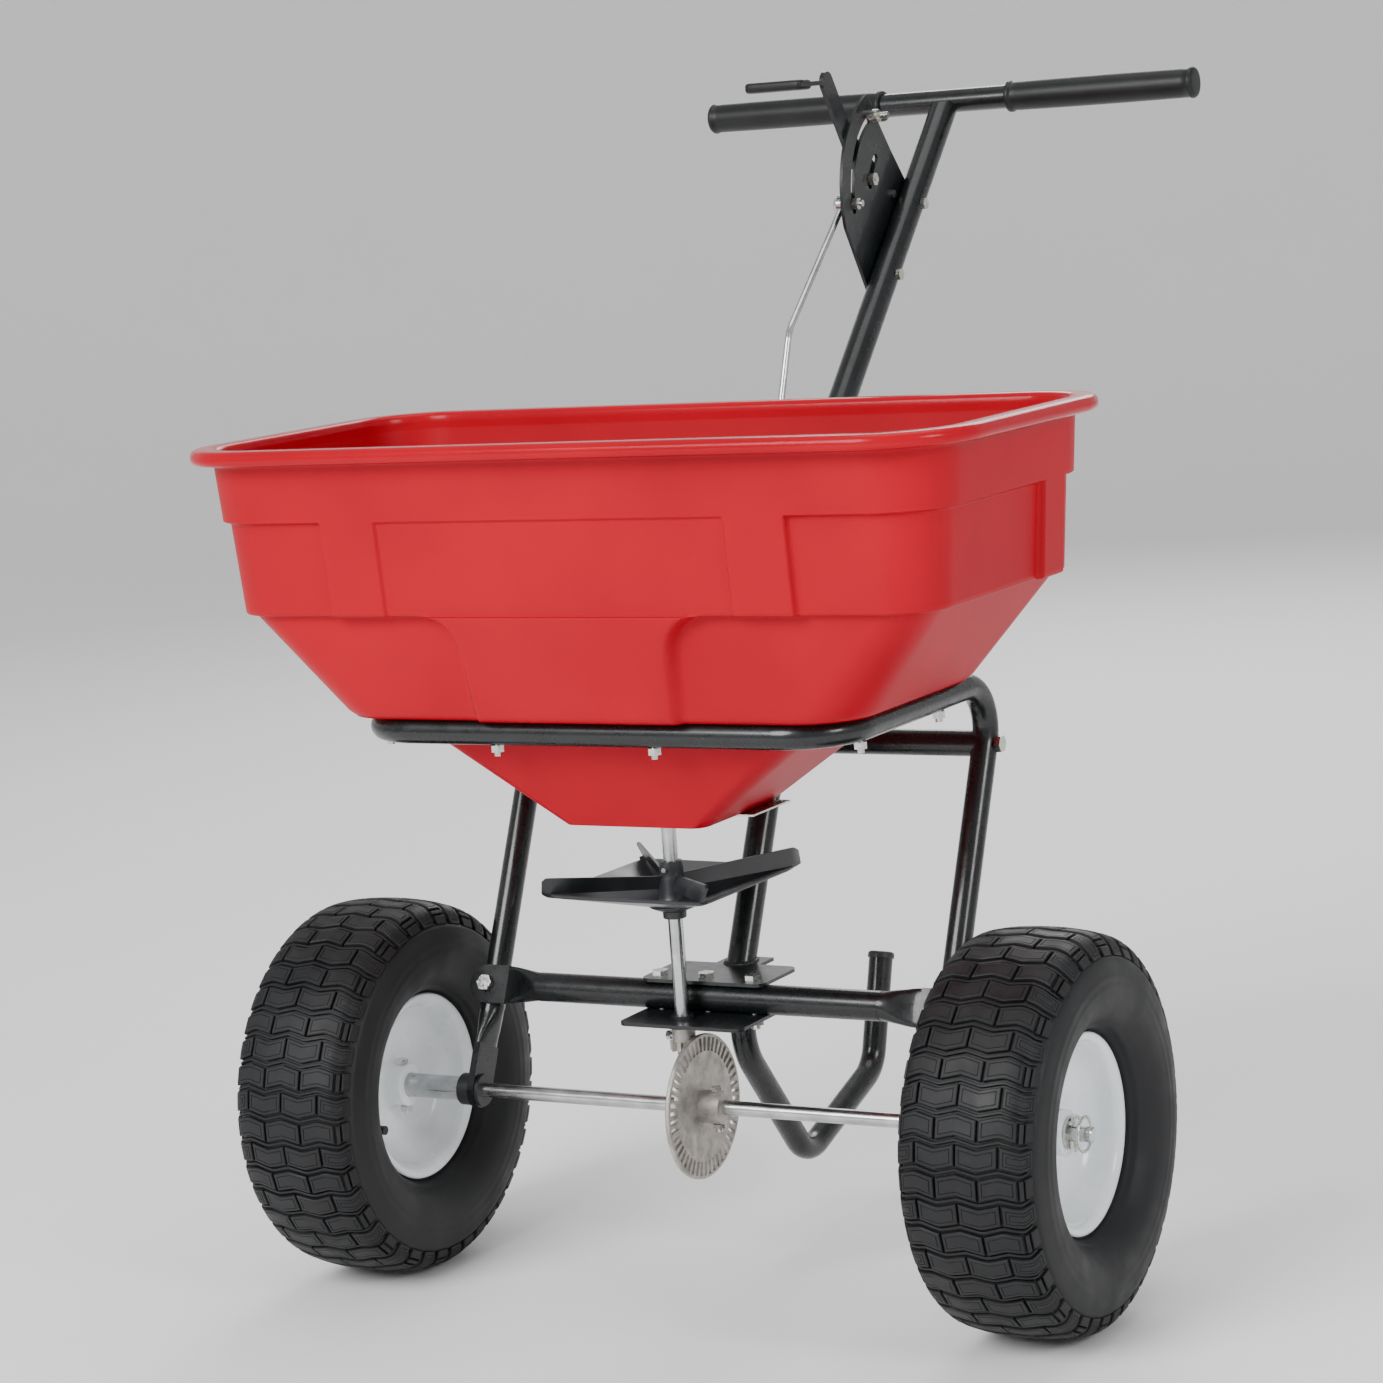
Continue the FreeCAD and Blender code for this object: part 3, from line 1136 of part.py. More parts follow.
# ---------------------------------------------------------------- rate plate, lever and rod
def rate_plate():
    """Gauge plate on the left of the mast, with the stop slot and the guide slot."""
    x0 = RATE_PLATE_X
    x1 = MAST_FLAT_X
    low = mast_axis(RATE_BOLT_Z[0] - 12)
    high = mast_axis(RATE_BOLT_Z[1] + 20)
    back = V(0, 8, -8)
    arc_points = [polar(RATE_PLATE_R, degrees) for degrees in RATE_EDGE_AT]
    arc = Part.Arc(*[V(x0, y, z) for y, z in arc_points]).toShape()
    corners = [arc_points[2], (low.y, low.z), ((low + back).y, (low + back).z),
               ((high + back).y, (high + back).z), (high.y - 30, high.z + 34), arc_points[0]]
    edges = [arc]
    for k in range(len(corners) - 1):
        a = V(x0, corners[k][0], corners[k][1])
        b = V(x0, corners[k + 1][0], corners[k + 1][1])
        edges.append(Part.makeLine(a, b))
    plate = Part.Face(Part.Wire(edges)).extrude(V(x1 - x0, 0, 0))
    cutters = [arc_slot(SLOT_R, 2 * (M6_R + BOLT_FREE) + 0.6, SLOT_FROM, SLOT_TO, x0 - 1, x1 + 1)]
    cutters.append(arc_slot(GUIDE_R, 2 * M6_R + 2.4, GUIDE_FROM, GUIDE_TO, x0 - 1, x1 + 1))
    for z in RATE_BOLT_Z:
        at = mast_axis(z)
        cutters.append(cyl(M6_R + BOLT_FREE, at - V(30, 0, 0), at + V(30, 0, 0)))
    cutters.append(cyl(M6_R, V(-60, PIVOT_Y, PIVOT_Z), V(60, PIVOT_Y, PIVOT_Z)))
    return plate.cut(cutters)


def rate_plate_bolts():
    pieces = []
    for z in RATE_BOLT_Z:
        at = mast_axis(z)
        seat = at + V(RATE_PLATE_X, 0, 0)
        pieces.append(bolt(at + V(MAST_R, 0, 0), seat - V(RATE_NUT_H + 0.5, 0, 0),
                           M6_R, M6_HEAD_FLATS, M6_HEAD_H))
        pieces.append(nut(seat, V(-1, 0, 0), M6_R, M6_HEAD_FLATS, RATE_NUT_H))
    return group(pieces)


def pivot_bolt():
    """Shoulder bolt that the lever turns on, fixed in the rate plate."""
    out = LEVER_X - MOVING
    seat = V(out, PIVOT_Y, PIVOT_Z)
    shank = cyl(M6_R, seat, V(MAST_FLAT_X + 3, PIVOT_Y, PIVOT_Z))
    head = hexagon(M6_HEAD_FLATS, V(out - M6_HEAD_H, PIVOT_Y, PIVOT_Z), seat)
    flange = nut(V(MAST_FLAT_X, PIVOT_Y, PIVOT_Z), V(1, 0, 0), M6_R, 7.0, 3)
    return fuse([head, shank, flange])


def lever_arm():
    """Flat lever: a crank behind the rate plate and an arm turned out over the left grip."""
    x0 = LEVER_X
    x1 = LEVER_X + LEVER_T
    pivot = (PIVOT_Y, PIVOT_Z)
    rod_end = polar(SLOT_R, ROD_AT)
    guide = polar(GUIDE_R, GUIDE_AT)
    elbow = (PIVOT_Y - 73.0, PIVOT_Z + 53.0)
    knee = (LEVER_KNEE_Y, LEVER_KNEE_Z)
    arms = [strip(pivot, rod_end, LEVER_W, x0, x1), strip(pivot, elbow, LEVER_W, x0, x1),
            strip(elbow, knee, LEVER_W, x0, x1), strip(guide, elbow, LEVER_W, x0, x1)]
    half = LEVER_W / 2
    turned = block(x0 - LEVER_OUT_L, x1, knee[0] - half, knee[0] + half, knee[1] - 2, knee[1] - 2 + LEVER_T)
    body = fuse(arms + [turned])
    cutters = [cyl(M6_R + RUNNING, V(x0 - 1, PIVOT_Y, PIVOT_Z), V(x1 + 1, PIVOT_Y, PIVOT_Z))]
    for y, z in (rod_end, guide):
        cutters.append(cyl(M6_R, V(x0 - 1, y, z), V(x1 + 1, y, z)))
    return body.cut(cutters)


def lever_pad():
    """Dipped vinyl sleeve on the turned-out end of the lever."""
    x1 = LEVER_X - LEVER_OUT_L + LEVER_PAD_L
    x0 = LEVER_X - LEVER_OUT_L - 3
    half = LEVER_W / 2
    z0 = LEVER_KNEE_Z - 2
    outer = block(x0, x1, LEVER_KNEE_Y - half - 2.5, LEVER_KNEE_Y + half + 2.5, z0 - 3, z0 + LEVER_T + 3)
    outer = outer.makeFillet(2.4, outer.Edges)
    inner = block(x0 + 3, x1 + 5, LEVER_KNEE_Y - half, LEVER_KNEE_Y + half, z0, z0 + LEVER_T)
    return outer.cut(inner)


def lever_guide_bolt():
    y, z = polar(GUIDE_R, GUIDE_AT)
    far = MAST_FLAT_X + MOVING
    screw = bolt(V(LEVER_X, y, z), V(far + 6.5, y, z), M6_R, M6_HEAD_FLATS, M6_HEAD_H)
    holder = nut(V(far, y, z), V(1, 0, 0), M6_R, M6_HEAD_FLATS + 1, 5)
    return group([screw, holder])


def rod_pivot_bolt():
    """Pin through the lever and the stop slot, on which the control rod hangs."""
    y, z = polar(SLOT_R, ROD_AT)
    eye = 2 * ROD_R
    out = LEVER_X - 2 * MOVING - eye
    screw = bolt(V(out, y, z), V(MAST_FLAT_X + MOVING + 9.0, y, z), M6_R, M6_HEAD_FLATS, M6_HEAD_H)
    holders = [nut(V(MAST_FLAT_X + MOVING, y, z), V(1, 0, 0), M6_R, M6_HEAD_FLATS, 5)]
    return group([screw] + holders)


def hook_point():
    """Middle of the rod where it turns into the gate's ear."""
    return V(ROD_X, GATE_TAIL_Y - HOOK_BACK, GATE_Z + HOOK_UP)


def control_rod():
    """Rod from an eye on the lever down to a hook in the gate's ear."""
    y, z = polar(SLOT_R, ROD_AT)
    x = ROD_X
    eye = ring(M6_R + RUNNING + 2 * ROD_R, M6_R + RUNNING, V(x - ROD_R, y, z), V(x + ROD_R, y, z))
    hook = hook_point()
    way = V(0, ROD_BEND_Y - y, ROD_BEND_Z - z).normalize()
    start = V(x, y, z) + way * (M6_R + ROD_R)
    path = [start, V(x, ROD_BEND_Y, ROD_BEND_Z), hook]
    rod = bent_bar(path, [30.0], ROD_R)
    toe = cyl(ROD_R, hook, hook + V(TOE_L, 0, 0))
    ball = Part.makeSphere(ROD_R, hook)
    body = fuse([eye, rod, ball, toe])
    return body.cut(cyl(M6_R + RUNNING, V(x - 9, y, z), V(x + 9, y, z)))


def rate_stop_bolt():
    """Carriage bolt clamped anywhere along the stop slot."""
    y, z = polar(SLOT_R, STOP_AT)
    head = hexagon(M6_HEAD_FLATS, V(RATE_PLATE_X - 3, y, z), V(RATE_PLATE_X, y, z))
    return fuse([head, cyl(M6_R, V(RATE_PLATE_X, y, z), V(MAST_FLAT_X + 18, y, z))])


def rate_stop_wing_nut():
    y, z = polar(SLOT_R, STOP_AT)
    x0 = MAST_FLAT_X
    boss = cyl(6.0, V(x0, y, z), V(x0 + 8, y, z))
    wings = [block(x0 + 2, x0 + 10, y - 14, y + 14, z - 1.25, z + 1.25)]
    return fuse([boss] + wings).cut(cyl(M6_R, V(x0 - 1, y, z), V(x0 + 30, y, z)))


# ---------------------------------------------------------------- write every piece
def left_rim_sticker():
    """Thin label on the inner face of the left rim's web."""
    x = -WHEEL_X + 6
    web = wheel_rim(-WHEEL_X)
    skin = web.copy()
    skin.translate(V(STICKER_T, 0, 0))
    column = block(-WHEEL_X, x + 1, -12, 8, -50, -29)
    return skin.common(column).cut(web)


PIECES = {
    "hopper": hopper,
    "hopper_bolts": hopper_bolts,
    "hopper_nuts": hopper_nuts,
    "outlet_plate": outlet_plate,
    "outlet_screws": outlet_screws,
    "gate_guides": gate_guides,
    "shutoff_gate": shutoff_gate,
    "cradle_frame": cradle_frame,
    "rear_cross_tube": rear_cross_tube,
    "rear_cross_bolts": rear_cross_bolts,
    "lower_crossbar": lower_crossbar,
    "crossbar_bolts": crossbar_bolts,
    "upper_clamp_plate": upper_clamp_plate,
    "lower_clamp_plate": lower_clamp_plate,
    "clamp_bolts": clamp_bolts,
    "clamp_nuts": clamp_nuts,
    "mast_tube": mast_tube,
    "mast_bracket": mast_bracket,
    "mast_bracket_bolts": mast_bracket_bolts,
    "handlebar_tube": handlebar_tube,
    "grip_left": grip_left,
    "grip_right": grip_right,
    "stand_tube": stand_tube,
    "stand_end_cap": stand_end_cap,
    "axle_bushing_left": axle_bushing_left,
    "axle_bushing_right": axle_bushing_right,
    "shaft_bearing_lower": shaft_bearing_lower,
    "shaft_bearing_upper": shaft_bearing_upper,
    "axle": axle,
    "drive_gear": drive_gear,
    "gear_drive_bolt": gear_drive_bolt,
    "spacer_sleeve": spacer_sleeve,
    "right_spacer": right_spacer,
    "wheel_drive_bolt": wheel_drive_bolt,
    "axle_washers": axle_washers,
    "linch_pin": linch_pin,
    "left_rim": lambda: wheel_rim(-WHEEL_X),
    "left_tyre": lambda: wheel_tyre(-WHEEL_X),
    "left_hub_bushes": lambda: group(hub_bushes(-WHEEL_X, AXLE_R)),
    "left_valve": lambda: valve_stem(-WHEEL_X),
    "left_rim_sticker": left_rim_sticker,
    "right_rim": lambda: wheel_rim(WHEEL_X),
    "right_tyre": lambda: wheel_tyre(WHEEL_X),
    "right_hub_bushes": lambda: group(hub_bushes(WHEEL_X, AXLE_R + RUNNING)),
    "right_valve": lambda: valve_stem(WHEEL_X),
    "spinner_shaft": spinner_shaft,
    "impeller": impeller,
    "shaft_pins": shaft_pins,
    "pinion": pinion,
    "pinion_set_screw": pinion_set_screw,
    "rate_plate": rate_plate,
    "rate_plate_bolts": rate_plate_bolts,
    "pivot_bolt": pivot_bolt,
    "lever_arm": lever_arm,
    "lever_pad": lever_pad,
    "lever_guide_bolt": lever_guide_bolt,
    "rod_pivot_bolt": rod_pivot_bolt,
    "control_rod": control_rod,
    "rate_stop_bolt": rate_stop_bolt,
    "rate_stop_wing_nut": rate_stop_wing_nut,
}


def write_all():
    os.makedirs("parts", exist_ok=True)
    for name, make in PIECES.items():
        shape = make()
        shape.translate(TO_ORIGIN)
        print(f"{name:22s} solids {len(shape.Solids)}  valid {shape.isValid()}  volume {shape.Volume:.0f}")
        shape.exportStep(os.path.join("parts", name + ".step"))


if __name__ == "__main__":
    write_all()
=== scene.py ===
import math

import bmesh
import bpy
from bpy.props import FloatProperty, FloatVectorProperty, IntProperty, PointerProperty
from mathutils import Matrix, Vector


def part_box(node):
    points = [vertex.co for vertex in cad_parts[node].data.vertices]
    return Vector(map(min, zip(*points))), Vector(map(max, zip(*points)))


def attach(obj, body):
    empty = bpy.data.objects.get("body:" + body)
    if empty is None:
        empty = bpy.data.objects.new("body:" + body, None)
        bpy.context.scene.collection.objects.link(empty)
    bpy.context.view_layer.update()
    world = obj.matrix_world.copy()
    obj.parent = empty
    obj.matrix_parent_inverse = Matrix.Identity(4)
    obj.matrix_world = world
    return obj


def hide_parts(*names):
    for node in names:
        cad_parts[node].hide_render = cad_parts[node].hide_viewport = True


bl_info = {
    "name": "Broadcast spreader",
    "version": (1, 0, 0),
    "blender": (4, 5, 0),
    "location": "View3D > Sidebar > Spreader",
    "description": "Builds the visible pieces of a walk-behind broadcast spreader round its frame",
    "category": "Object",
}

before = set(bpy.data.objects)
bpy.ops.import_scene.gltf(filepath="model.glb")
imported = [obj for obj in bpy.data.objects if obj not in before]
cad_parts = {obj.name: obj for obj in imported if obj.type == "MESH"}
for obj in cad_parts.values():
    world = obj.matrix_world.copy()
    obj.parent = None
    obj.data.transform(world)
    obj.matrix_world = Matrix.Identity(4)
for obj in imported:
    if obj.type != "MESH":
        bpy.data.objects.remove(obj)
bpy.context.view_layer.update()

# ---------------------------------------------------------------- places, from the frame
# Lengths below are millimetres from the axle: +X to the operator's right, +Y back, +Z up.
MM = 0.001


def edges_of(node):
    """Lowest and highest corner of a frame node, in millimetres from the axle."""
    low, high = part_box(node)
    return (low - AXLE) / MM, (high - AXLE) / MM


AXLE = Vector((0.0, 0.0, 0.0))
axle_low, axle_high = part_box("axle")
AXLE = Vector((0.0, (axle_low.y + axle_high.y) / 2, (axle_low.z + axle_high.z) / 2))

HOPPER_LOW, HOPPER_HIGH = edges_of("hopper")
TYRE_LOW, TYRE_HIGH = edges_of("right_tyre")
RIM_HIGH = edges_of("right_rim")[1]
IMPELLER_LOW = edges_of("impeller")[0]
SHAFT_LOW, SHAFT_HIGH = edges_of("spinner_shaft")
SHELF_Z = edges_of("cradle_frame")[1].z      # the hopper stands on the cradle tube
PLATE_TOP = edges_of("upper_clamp_plate")[1].z
PLATE_UNDER = edges_of("lower_clamp_plate")[0].z

WHEEL_X = (TYRE_LOW.x + TYRE_HIGH.x) / 2
TYRE_R = TYRE_HIGH.z
SHAFT_X = (SHAFT_LOW.x + SHAFT_HIGH.x) / 2
SHAFT_HOLE_R = 9.35                          # bearing hole in the hopper's floor
HANDLEBAR_R = 11.1
MAST_R = 12.7
MAST_SLOPE = 0.484                           # back for every millimetre up


# ---------------------------------------------------------------- small tools
def smooth(t):
    t = min(max(t, 0.0), 1.0)
    return t * t * (3 - 2 * t)


def mix(a, b, t):
    return tuple(p + (q - p) * t for p, q in zip(a, b))


def spread(start, end, step):
    """Evenly spaced values from start to end, both kept, no further apart than step."""
    count = max(1, math.ceil(abs(end - start) / step - 1e-6))
    return [start + (end - start) * k / count for k in range(count + 1)]


def through(points, per_span):
    """Points along a smooth curve that passes through every given point."""
    out = []
    last = len(points) - 1
    for k in range(last):
        p0, p1 = points[max(k - 1, 0)], points[k]
        p2, p3 = points[k + 1], points[min(k + 2, last)]
        for step in range(per_span):
            t = step / per_span
            out.append(tuple(
                0.5 * (2 * b + (c - a) * t + (2 * a - 5 * b + 4 * c - d) * t * t
                       + (3 * b - a - 3 * c + d) * t ** 3)
                for a, b, c, d in zip(p0, p1, p2, p3)))
    out.append(tuple(points[-1]))
    return out


def tube_of(rings, joined=False, capped=False):
    """Vertices and faces of a skin over closed rings; joined links the last ring to the first."""
    count = len(rings[0])
    verts = [point for ring in rings for point in ring]
    faces = []
    for k in range(len(rings) if joined else len(rings) - 1):
        low, high = k * count, ((k + 1) % len(rings)) * count
        for j in range(count):
            nxt = (j + 1) % count
            faces.append((low + j, low + nxt, high + nxt, high + j))
    if capped:
        faces.append(tuple(range(count - 1, -1, -1)))
        faces.append(tuple(range(len(verts) - count, len(verts))))
    return verts, faces


def lathe(profile, segments, middle=(0.0, 0.0, 0.0), along="X", joined=True):
    """A profile of (place along the axis, radius) turned about an axis through middle."""
    rings = []
    for k in range(segments):
        angle = 2 * math.pi * k / segments
        ring = []
        for place, radius in profile:
            a, b = radius * math.cos(angle), radius * math.sin(angle)
            offset = (place, a, b) if along == "X" else (a, b, place)
            ring.append(tuple(m + o for m, o in zip(middle, offset)))
        rings.append(ring)
    if joined:
        return tube_of(rings, joined=True)
    across = [[ring[j] for ring in rings] for j in range(len(profile))]
    return tube_of(across, capped=True)


def fresh_mesh(name, parts, crease_deg=38.0, scale=MM, offset=AXLE):
    """One mesh from several skins, scaled and moved into place, with its faces outwards."""
    verts, faces = [], []
    for part_verts, part_faces in parts:
        first = len(verts)
        verts += part_verts
        faces += [tuple(first + k for k in face) for face in part_faces]
    mesh = bpy.data.meshes.new(name)
    mesh.from_pydata(verts, [], faces)
    tidy_mesh(mesh, crease_deg)
    mesh.transform(Matrix.Translation(offset) @ Matrix.Scale(scale, 4))
    return mesh


def tidy_mesh(mesh, crease_deg):
    work = bmesh.new()
    work.from_mesh(mesh)
    bmesh.ops.remove_doubles(work, verts=work.verts, dist=1e-4)
    bmesh.ops.recalc_face_normals(work, faces=work.faces)
    work.to_mesh(mesh)
    work.free()
    for face in mesh.polygons:
        face.use_smooth = True
    mesh.set_sharp_from_angle(angle=math.radians(crease_deg))


def show(name, mesh, material, body, replaced=()):
    """Make the piece's object, paint it, and let it ride on its body."""
    mesh.materials.clear()
    mesh.materials.append(material)
    piece = bpy.data.objects.new(name, mesh)
    bpy.context.scene.collection.objects.link(piece)
    if replaced:
        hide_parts(*replaced)
    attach(piece, body)
    return piece


def cut_with(mesh, cutters):
    """Drill closed cutter skins out of a closed mesh that is still in millimetres."""
    target = bpy.data.objects.new("being_drilled", mesh)
    tool_mesh = fresh_mesh("drill", cutters, scale=1.0, offset=Vector())
    tool = bpy.data.objects.new("drill", tool_mesh)
    for item in (target, tool):
        bpy.context.scene.collection.objects.link(item)
    cut = target.modifiers.new("holes", "BOOLEAN")
    cut.operation, cut.solver, cut.object = "DIFFERENCE", "EXACT", tool
    bpy.context.view_layer.update()
    result = bpy.data.meshes.new_from_object(
        target.evaluated_get(bpy.context.evaluated_depsgraph_get()))
    for item in (target, tool):
        bpy.data.objects.remove(item)
    return result


# ---------------------------------------------------------------- materials
def linear(colour):
    """A six-figure sRGB hex colour as linear red, green, blue and alpha."""
    out = []
    for k in (0, 2, 4):
        share = int(colour[k:k + 2], 16) / 255
        out.append(share / 12.92 if share <= 0.04045 else ((share + 0.055) / 1.055) ** 2.4)
    return (*out, 1.0)


def add(tree, kind, links=None, **settings):
    """Add a node; a link's value is a socket to join or a plain value to set."""
    new = tree.nodes.new(kind)
    for name, value in settings.items():
        setattr(new, name, value)
    for name, value in (links or {}).items():
        if isinstance(value, bpy.types.NodeSocket):
            tree.links.new(value, new.inputs[name])
        else:
            new.inputs[name].default_value = value
    return new


def grain(tree, size, stretch=(1.0, 1.0, 1.0), detail=3.0):
    """Noise on the piece's own coordinates, one swell to each size in metres."""
    place = add(tree, "ShaderNodeTexCoord")
    turned = add(tree, "ShaderNodeMapping", {"Vector": place.outputs["Object"], "Scale": stretch})
    return add(tree, "ShaderNodeTexNoise", {
        "Vector": turned.outputs["Vector"], "Scale": 1.0 / size, "Detail": detail,
        "Roughness": 0.55})


def ramp(tree, value, stops):
    node = add(tree, "ShaderNodeValToRGB", {"Fac": value})
    while len(node.color_ramp.elements) < len(stops):
        node.color_ramp.elements.new(0.5)
    for element, (at, colour) in zip(node.color_ramp.elements, stops):
        element.position = at
        element.color = colour if not isinstance(colour, str) else linear(colour)
    return node


def between(tree, value, low, high, from_low=0.3, from_high=0.7):
    return add(tree, "ShaderNodeMapRange", {
        "Value": value, "From Min": from_low, "From Max": from_high,
        "To Min": low, "To Max": high}).outputs["Result"]


def finish(name, metallic=0.0, ior=1.5, coat=0.0, coat_roughness=0.1, specular=0.5):
    """A new material with its shader; what varies over the surface is linked by the caller."""
    material = bpy.data.materials.new(name)
    material.use_nodes = True
    tree = material.node_tree
    shader = next(n for n in tree.nodes if n.type == "BSDF_PRINCIPLED")
    shader.inputs["Metallic"].default_value = metallic
    shader.inputs["IOR"].default_value = ior
    shader.inputs["Coat Weight"].default_value = coat
    shader.inputs["Coat Roughness"].default_value = coat_roughness
    shader.inputs["Specular IOR Level"].default_value = specular
    return material, tree, shader


def surface(tree, shader, colour, roughness, height, strength, distance):
    """Link colour, roughness and a bump whose hills are distance high, in metres."""
    tree.links.new(colour, shader.inputs["Base Color"])
    if isinstance(roughness, bpy.types.NodeSocket):
        tree.links.new(roughness, shader.inputs["Roughness"])
    else:
        shader.inputs["Roughness"].default_value = roughness
    bump = add(tree, "ShaderNodeBump", {
        "Strength": strength, "Distance": distance, "Height": height})
    tree.links.new(bump.outputs["Normal"], shader.inputs["Normal"])


def moulded_polypropylene(colour, shade):
    # Moulded polypropylene: a fine mould grain on the walls, a polished rolled lip, and slow
    # changes of shade where the melt met.
    material, tree, shader = finish("polypropylene_moulded_red", ior=1.49, specular=0.16)
    slow = grain(tree, 0.16, detail=2.0)
    tint = ramp(tree, slow.outputs["Fac"], [(0.3, shade), (0.72, colour)])
    place = add(tree, "ShaderNodeTexCoord")
    parts = add(tree, "ShaderNodeSeparateXYZ", {"Vector": place.outputs["Object"]})
    lip_start = AXLE.z + (HOPPER_HIGH.z - 15) * MM
    lip = between(tree, parts.outputs["Z"], 0.0, 1.0, lip_start, lip_start + 2 * MM)
    rough = add(tree, "ShaderNodeMapRange", {"Value": lip, "To Min": 0.46, "To Max": 0.16})
    speck = grain(tree, 0.0011, detail=2.0)          # 1 mm mould grain, coarser than real
    wave = grain(tree, 0.03, detail=1.0)
    height = add(tree, "ShaderNodeMath", {0: speck.outputs["Fac"], 1: wave.outputs["Fac"]},
                 operation="ADD")
    surface(tree, shader, tint.outputs["Color"], rough.outputs["Result"],
            height.outputs["Value"], 0.22, 0.00035)
    return material


def powder_coat(name, colour, highlight, roughness=0.27, size=0.0016):
    # Powder coat baked on steel tube: deep black with sharp highlights over a slight orange
    # peel, and a little dust that lifts the black.
    material, tree, shader = finish(name, ior=1.52, coat=0.25, coat_roughness=0.07, specular=0.36)
    slow = grain(tree, 0.05)
    tint = ramp(tree, slow.outputs["Fac"], [(0.35, colour), (0.8, highlight)])
    peel = grain(tree, size, detail=1.5)
    rough = between(tree, grain(tree, 0.012).outputs["Fac"], roughness - 0.05, roughness + 0.08)
    surface(tree, shader, tint.outputs["Color"], rough, peel.outputs["Fac"], 0.16, 0.0003)
    return material


def zinc_plate():
    # Bright zinc plate on pressed and rolled fasteners: pale, slightly blue and yellow by
    # turns, with fine handling marks.
    material, tree, shader = finish("steel_zinc_plated", metallic=1.0)
    slow = grain(tree, 0.006)
    tint = ramp(tree, slow.outputs["Fac"],
                [(0.3, "B9BDC0"), (0.55, "D8D8D2"), (0.78, "C9C1A6")])
    rough = between(tree, grain(tree, 0.0025).outputs["Fac"], 0.16, 0.34)
    marks = grain(tree, 0.0009, detail=4.0)
    surface(tree, shader, tint.outputs["Color"], rough, marks.outputs["Fac"], 0.12, 0.0001)
    return material


def drawn_bar(name, stretch):
    # Cold drawn and polished bar: fine scratches along its length.
    material, tree, shader = finish(name, metallic=1.0)
    slow = grain(tree, 0.02)
    tint = ramp(tree, slow.outputs["Fac"], [(0.3, "AEB0B1"), (0.7, "D5D6D6")])
    lines = grain(tree, 0.001, stretch=stretch, detail=4.0)
    rough = between(tree, lines.outputs["Fac"], 0.14, 0.3)
    surface(tree, shader, tint.outputs["Color"], rough, lines.outputs["Fac"], 0.1, 0.00008)
    return material


def dipped_vinyl():
    # Soft vinyl dipped or slipped on: nearly black, low sheen, with a leathery mould grain.
    material, tree, shader = finish("vinyl_soft_black", ior=1.53, specular=0.32)
    slow = grain(tree, 0.03)
    tint = ramp(tree, slow.outputs["Fac"], [(0.3, "0F1011"), (0.75, "191B1C")])
    leather = grain(tree, 0.0013, detail=3.0)
    rough = between(tree, leather.outputs["Fac"], 0.36, 0.5)
    surface(tree, shader, tint.outputs["Color"], rough, leather.outputs["Fac"], 0.3, 0.0002)
    return material


def moulded_nylon(name, colour, light, roughness=0.34):
    # Glass-filled nylon: charcoal, a satin skin with faint flow marks from the gate.
    material, tree, shader = finish(name, ior=1.53)
    flow = grain(tree, 0.035, stretch=(1.0, 1.0, 0.4))
    tint = ramp(tree, flow.outputs["Fac"], [(0.3, colour), (0.75, light)])
    fibre = grain(tree, 0.0008, detail=3.0)
    rough = between(tree, flow.outputs["Fac"], roughness - 0.06, roughness + 0.1)
    surface(tree, shader, tint.outputs["Color"], rough, fibre.outputs["Fac"], 0.15, 0.00012)
    return material


def sintered_iron():
    # Sintered iron, oiled: warm grey and finely pitted, with rubbed brighter high spots.
    material, tree, shader = finish("iron_sintered_oiled", metallic=0.7)
    slow = grain(tree, 0.011)
    tint = ramp(tree, slow.outputs["Fac"], [(0.25, "8F8B86"), (0.6, "BDB8B2"), (0.85, "DAD5CE")])
    pits = grain(tree, 0.0011, detail=5.0)
    rough = between(tree, pits.outputs["Fac"], 0.38, 0.62)
    surface(tree, shader, tint.outputs["Color"], rough, pits.outputs["Fac"], 0.35, 0.00025)
    return material


def enamel_white(colour):
    # Baked enamel on a pressed rim: cool white, glossy, with faint runs and dust in the dish.
    material, tree, shader = finish("enamel_baked_white", ior=1.52, coat=0.5,
                                    coat_roughness=0.06)
    slow = grain(tree, 0.05)
    tint = ramp(tree, slow.outputs["Fac"], [(0.3, "E8EFF2"), (0.7, colour)])
    peel = grain(tree, 0.004, detail=1.0)
    rough = between(tree, slow.outputs["Fac"], 0.2, 0.32)
    surface(tree, shader, tint.outputs["Color"], rough, peel.outputs["Fac"], 0.08, 0.0003)
    return material


def tyre_rubber(colour, worn):
    # Vulcanised rubber: blue-black, dull, with brown-grey scuffs on the proud edges and a fine
    # mould grain.
    material, tree, shader = finish("rubber_vulcanised_black", ior=1.52, specular=0.32)
    slow = grain(tree, 0.03, detail=4.0)
    tint = ramp(tree, slow.outputs["Fac"], [(0.3, colour), (0.62, worn), (0.8, "2B2926")])
    mould = grain(tree, 0.0012, detail=4.0)
    rough = between(tree, slow.outputs["Fac"], 0.44, 0.66)
    surface(tree, shader, tint.outputs["Color"], rough, mould.outputs["Fac"], 0.3, 0.00025)
    return material


def printed_vinyl():
    # Plain yellow vinyl label: even colour, a little gloss, small creases.
    material, tree, shader = finish("vinyl_label_yellow", ior=1.5, coat=0.3)
    slow = grain(tree, 0.008)
    tint = ramp(tree, slow.outputs["Fac"], [(0.3, "DDBB1E"), (0.7, "EDD038")])
    surface(tree, shader, tint.outputs["Color"], 0.32, slow.outputs["Fac"], 0.2, 0.0002)
    return material


def white_polythene():
    # Moulded polythene bush: milky white, waxy.
    material, tree, shader = finish("polythene_moulded_white", ior=1.51)
    slow = grain(tree, 0.01)
    tint = ramp(tree, slow.outputs["Fac"], [(0.3, "D4D6D2"), (0.7, "ECEDEA")])
    surface(tree, shader, tint.outputs["Color"], 0.38, slow.outputs["Fac"], 0.15, 0.0002)
    return material


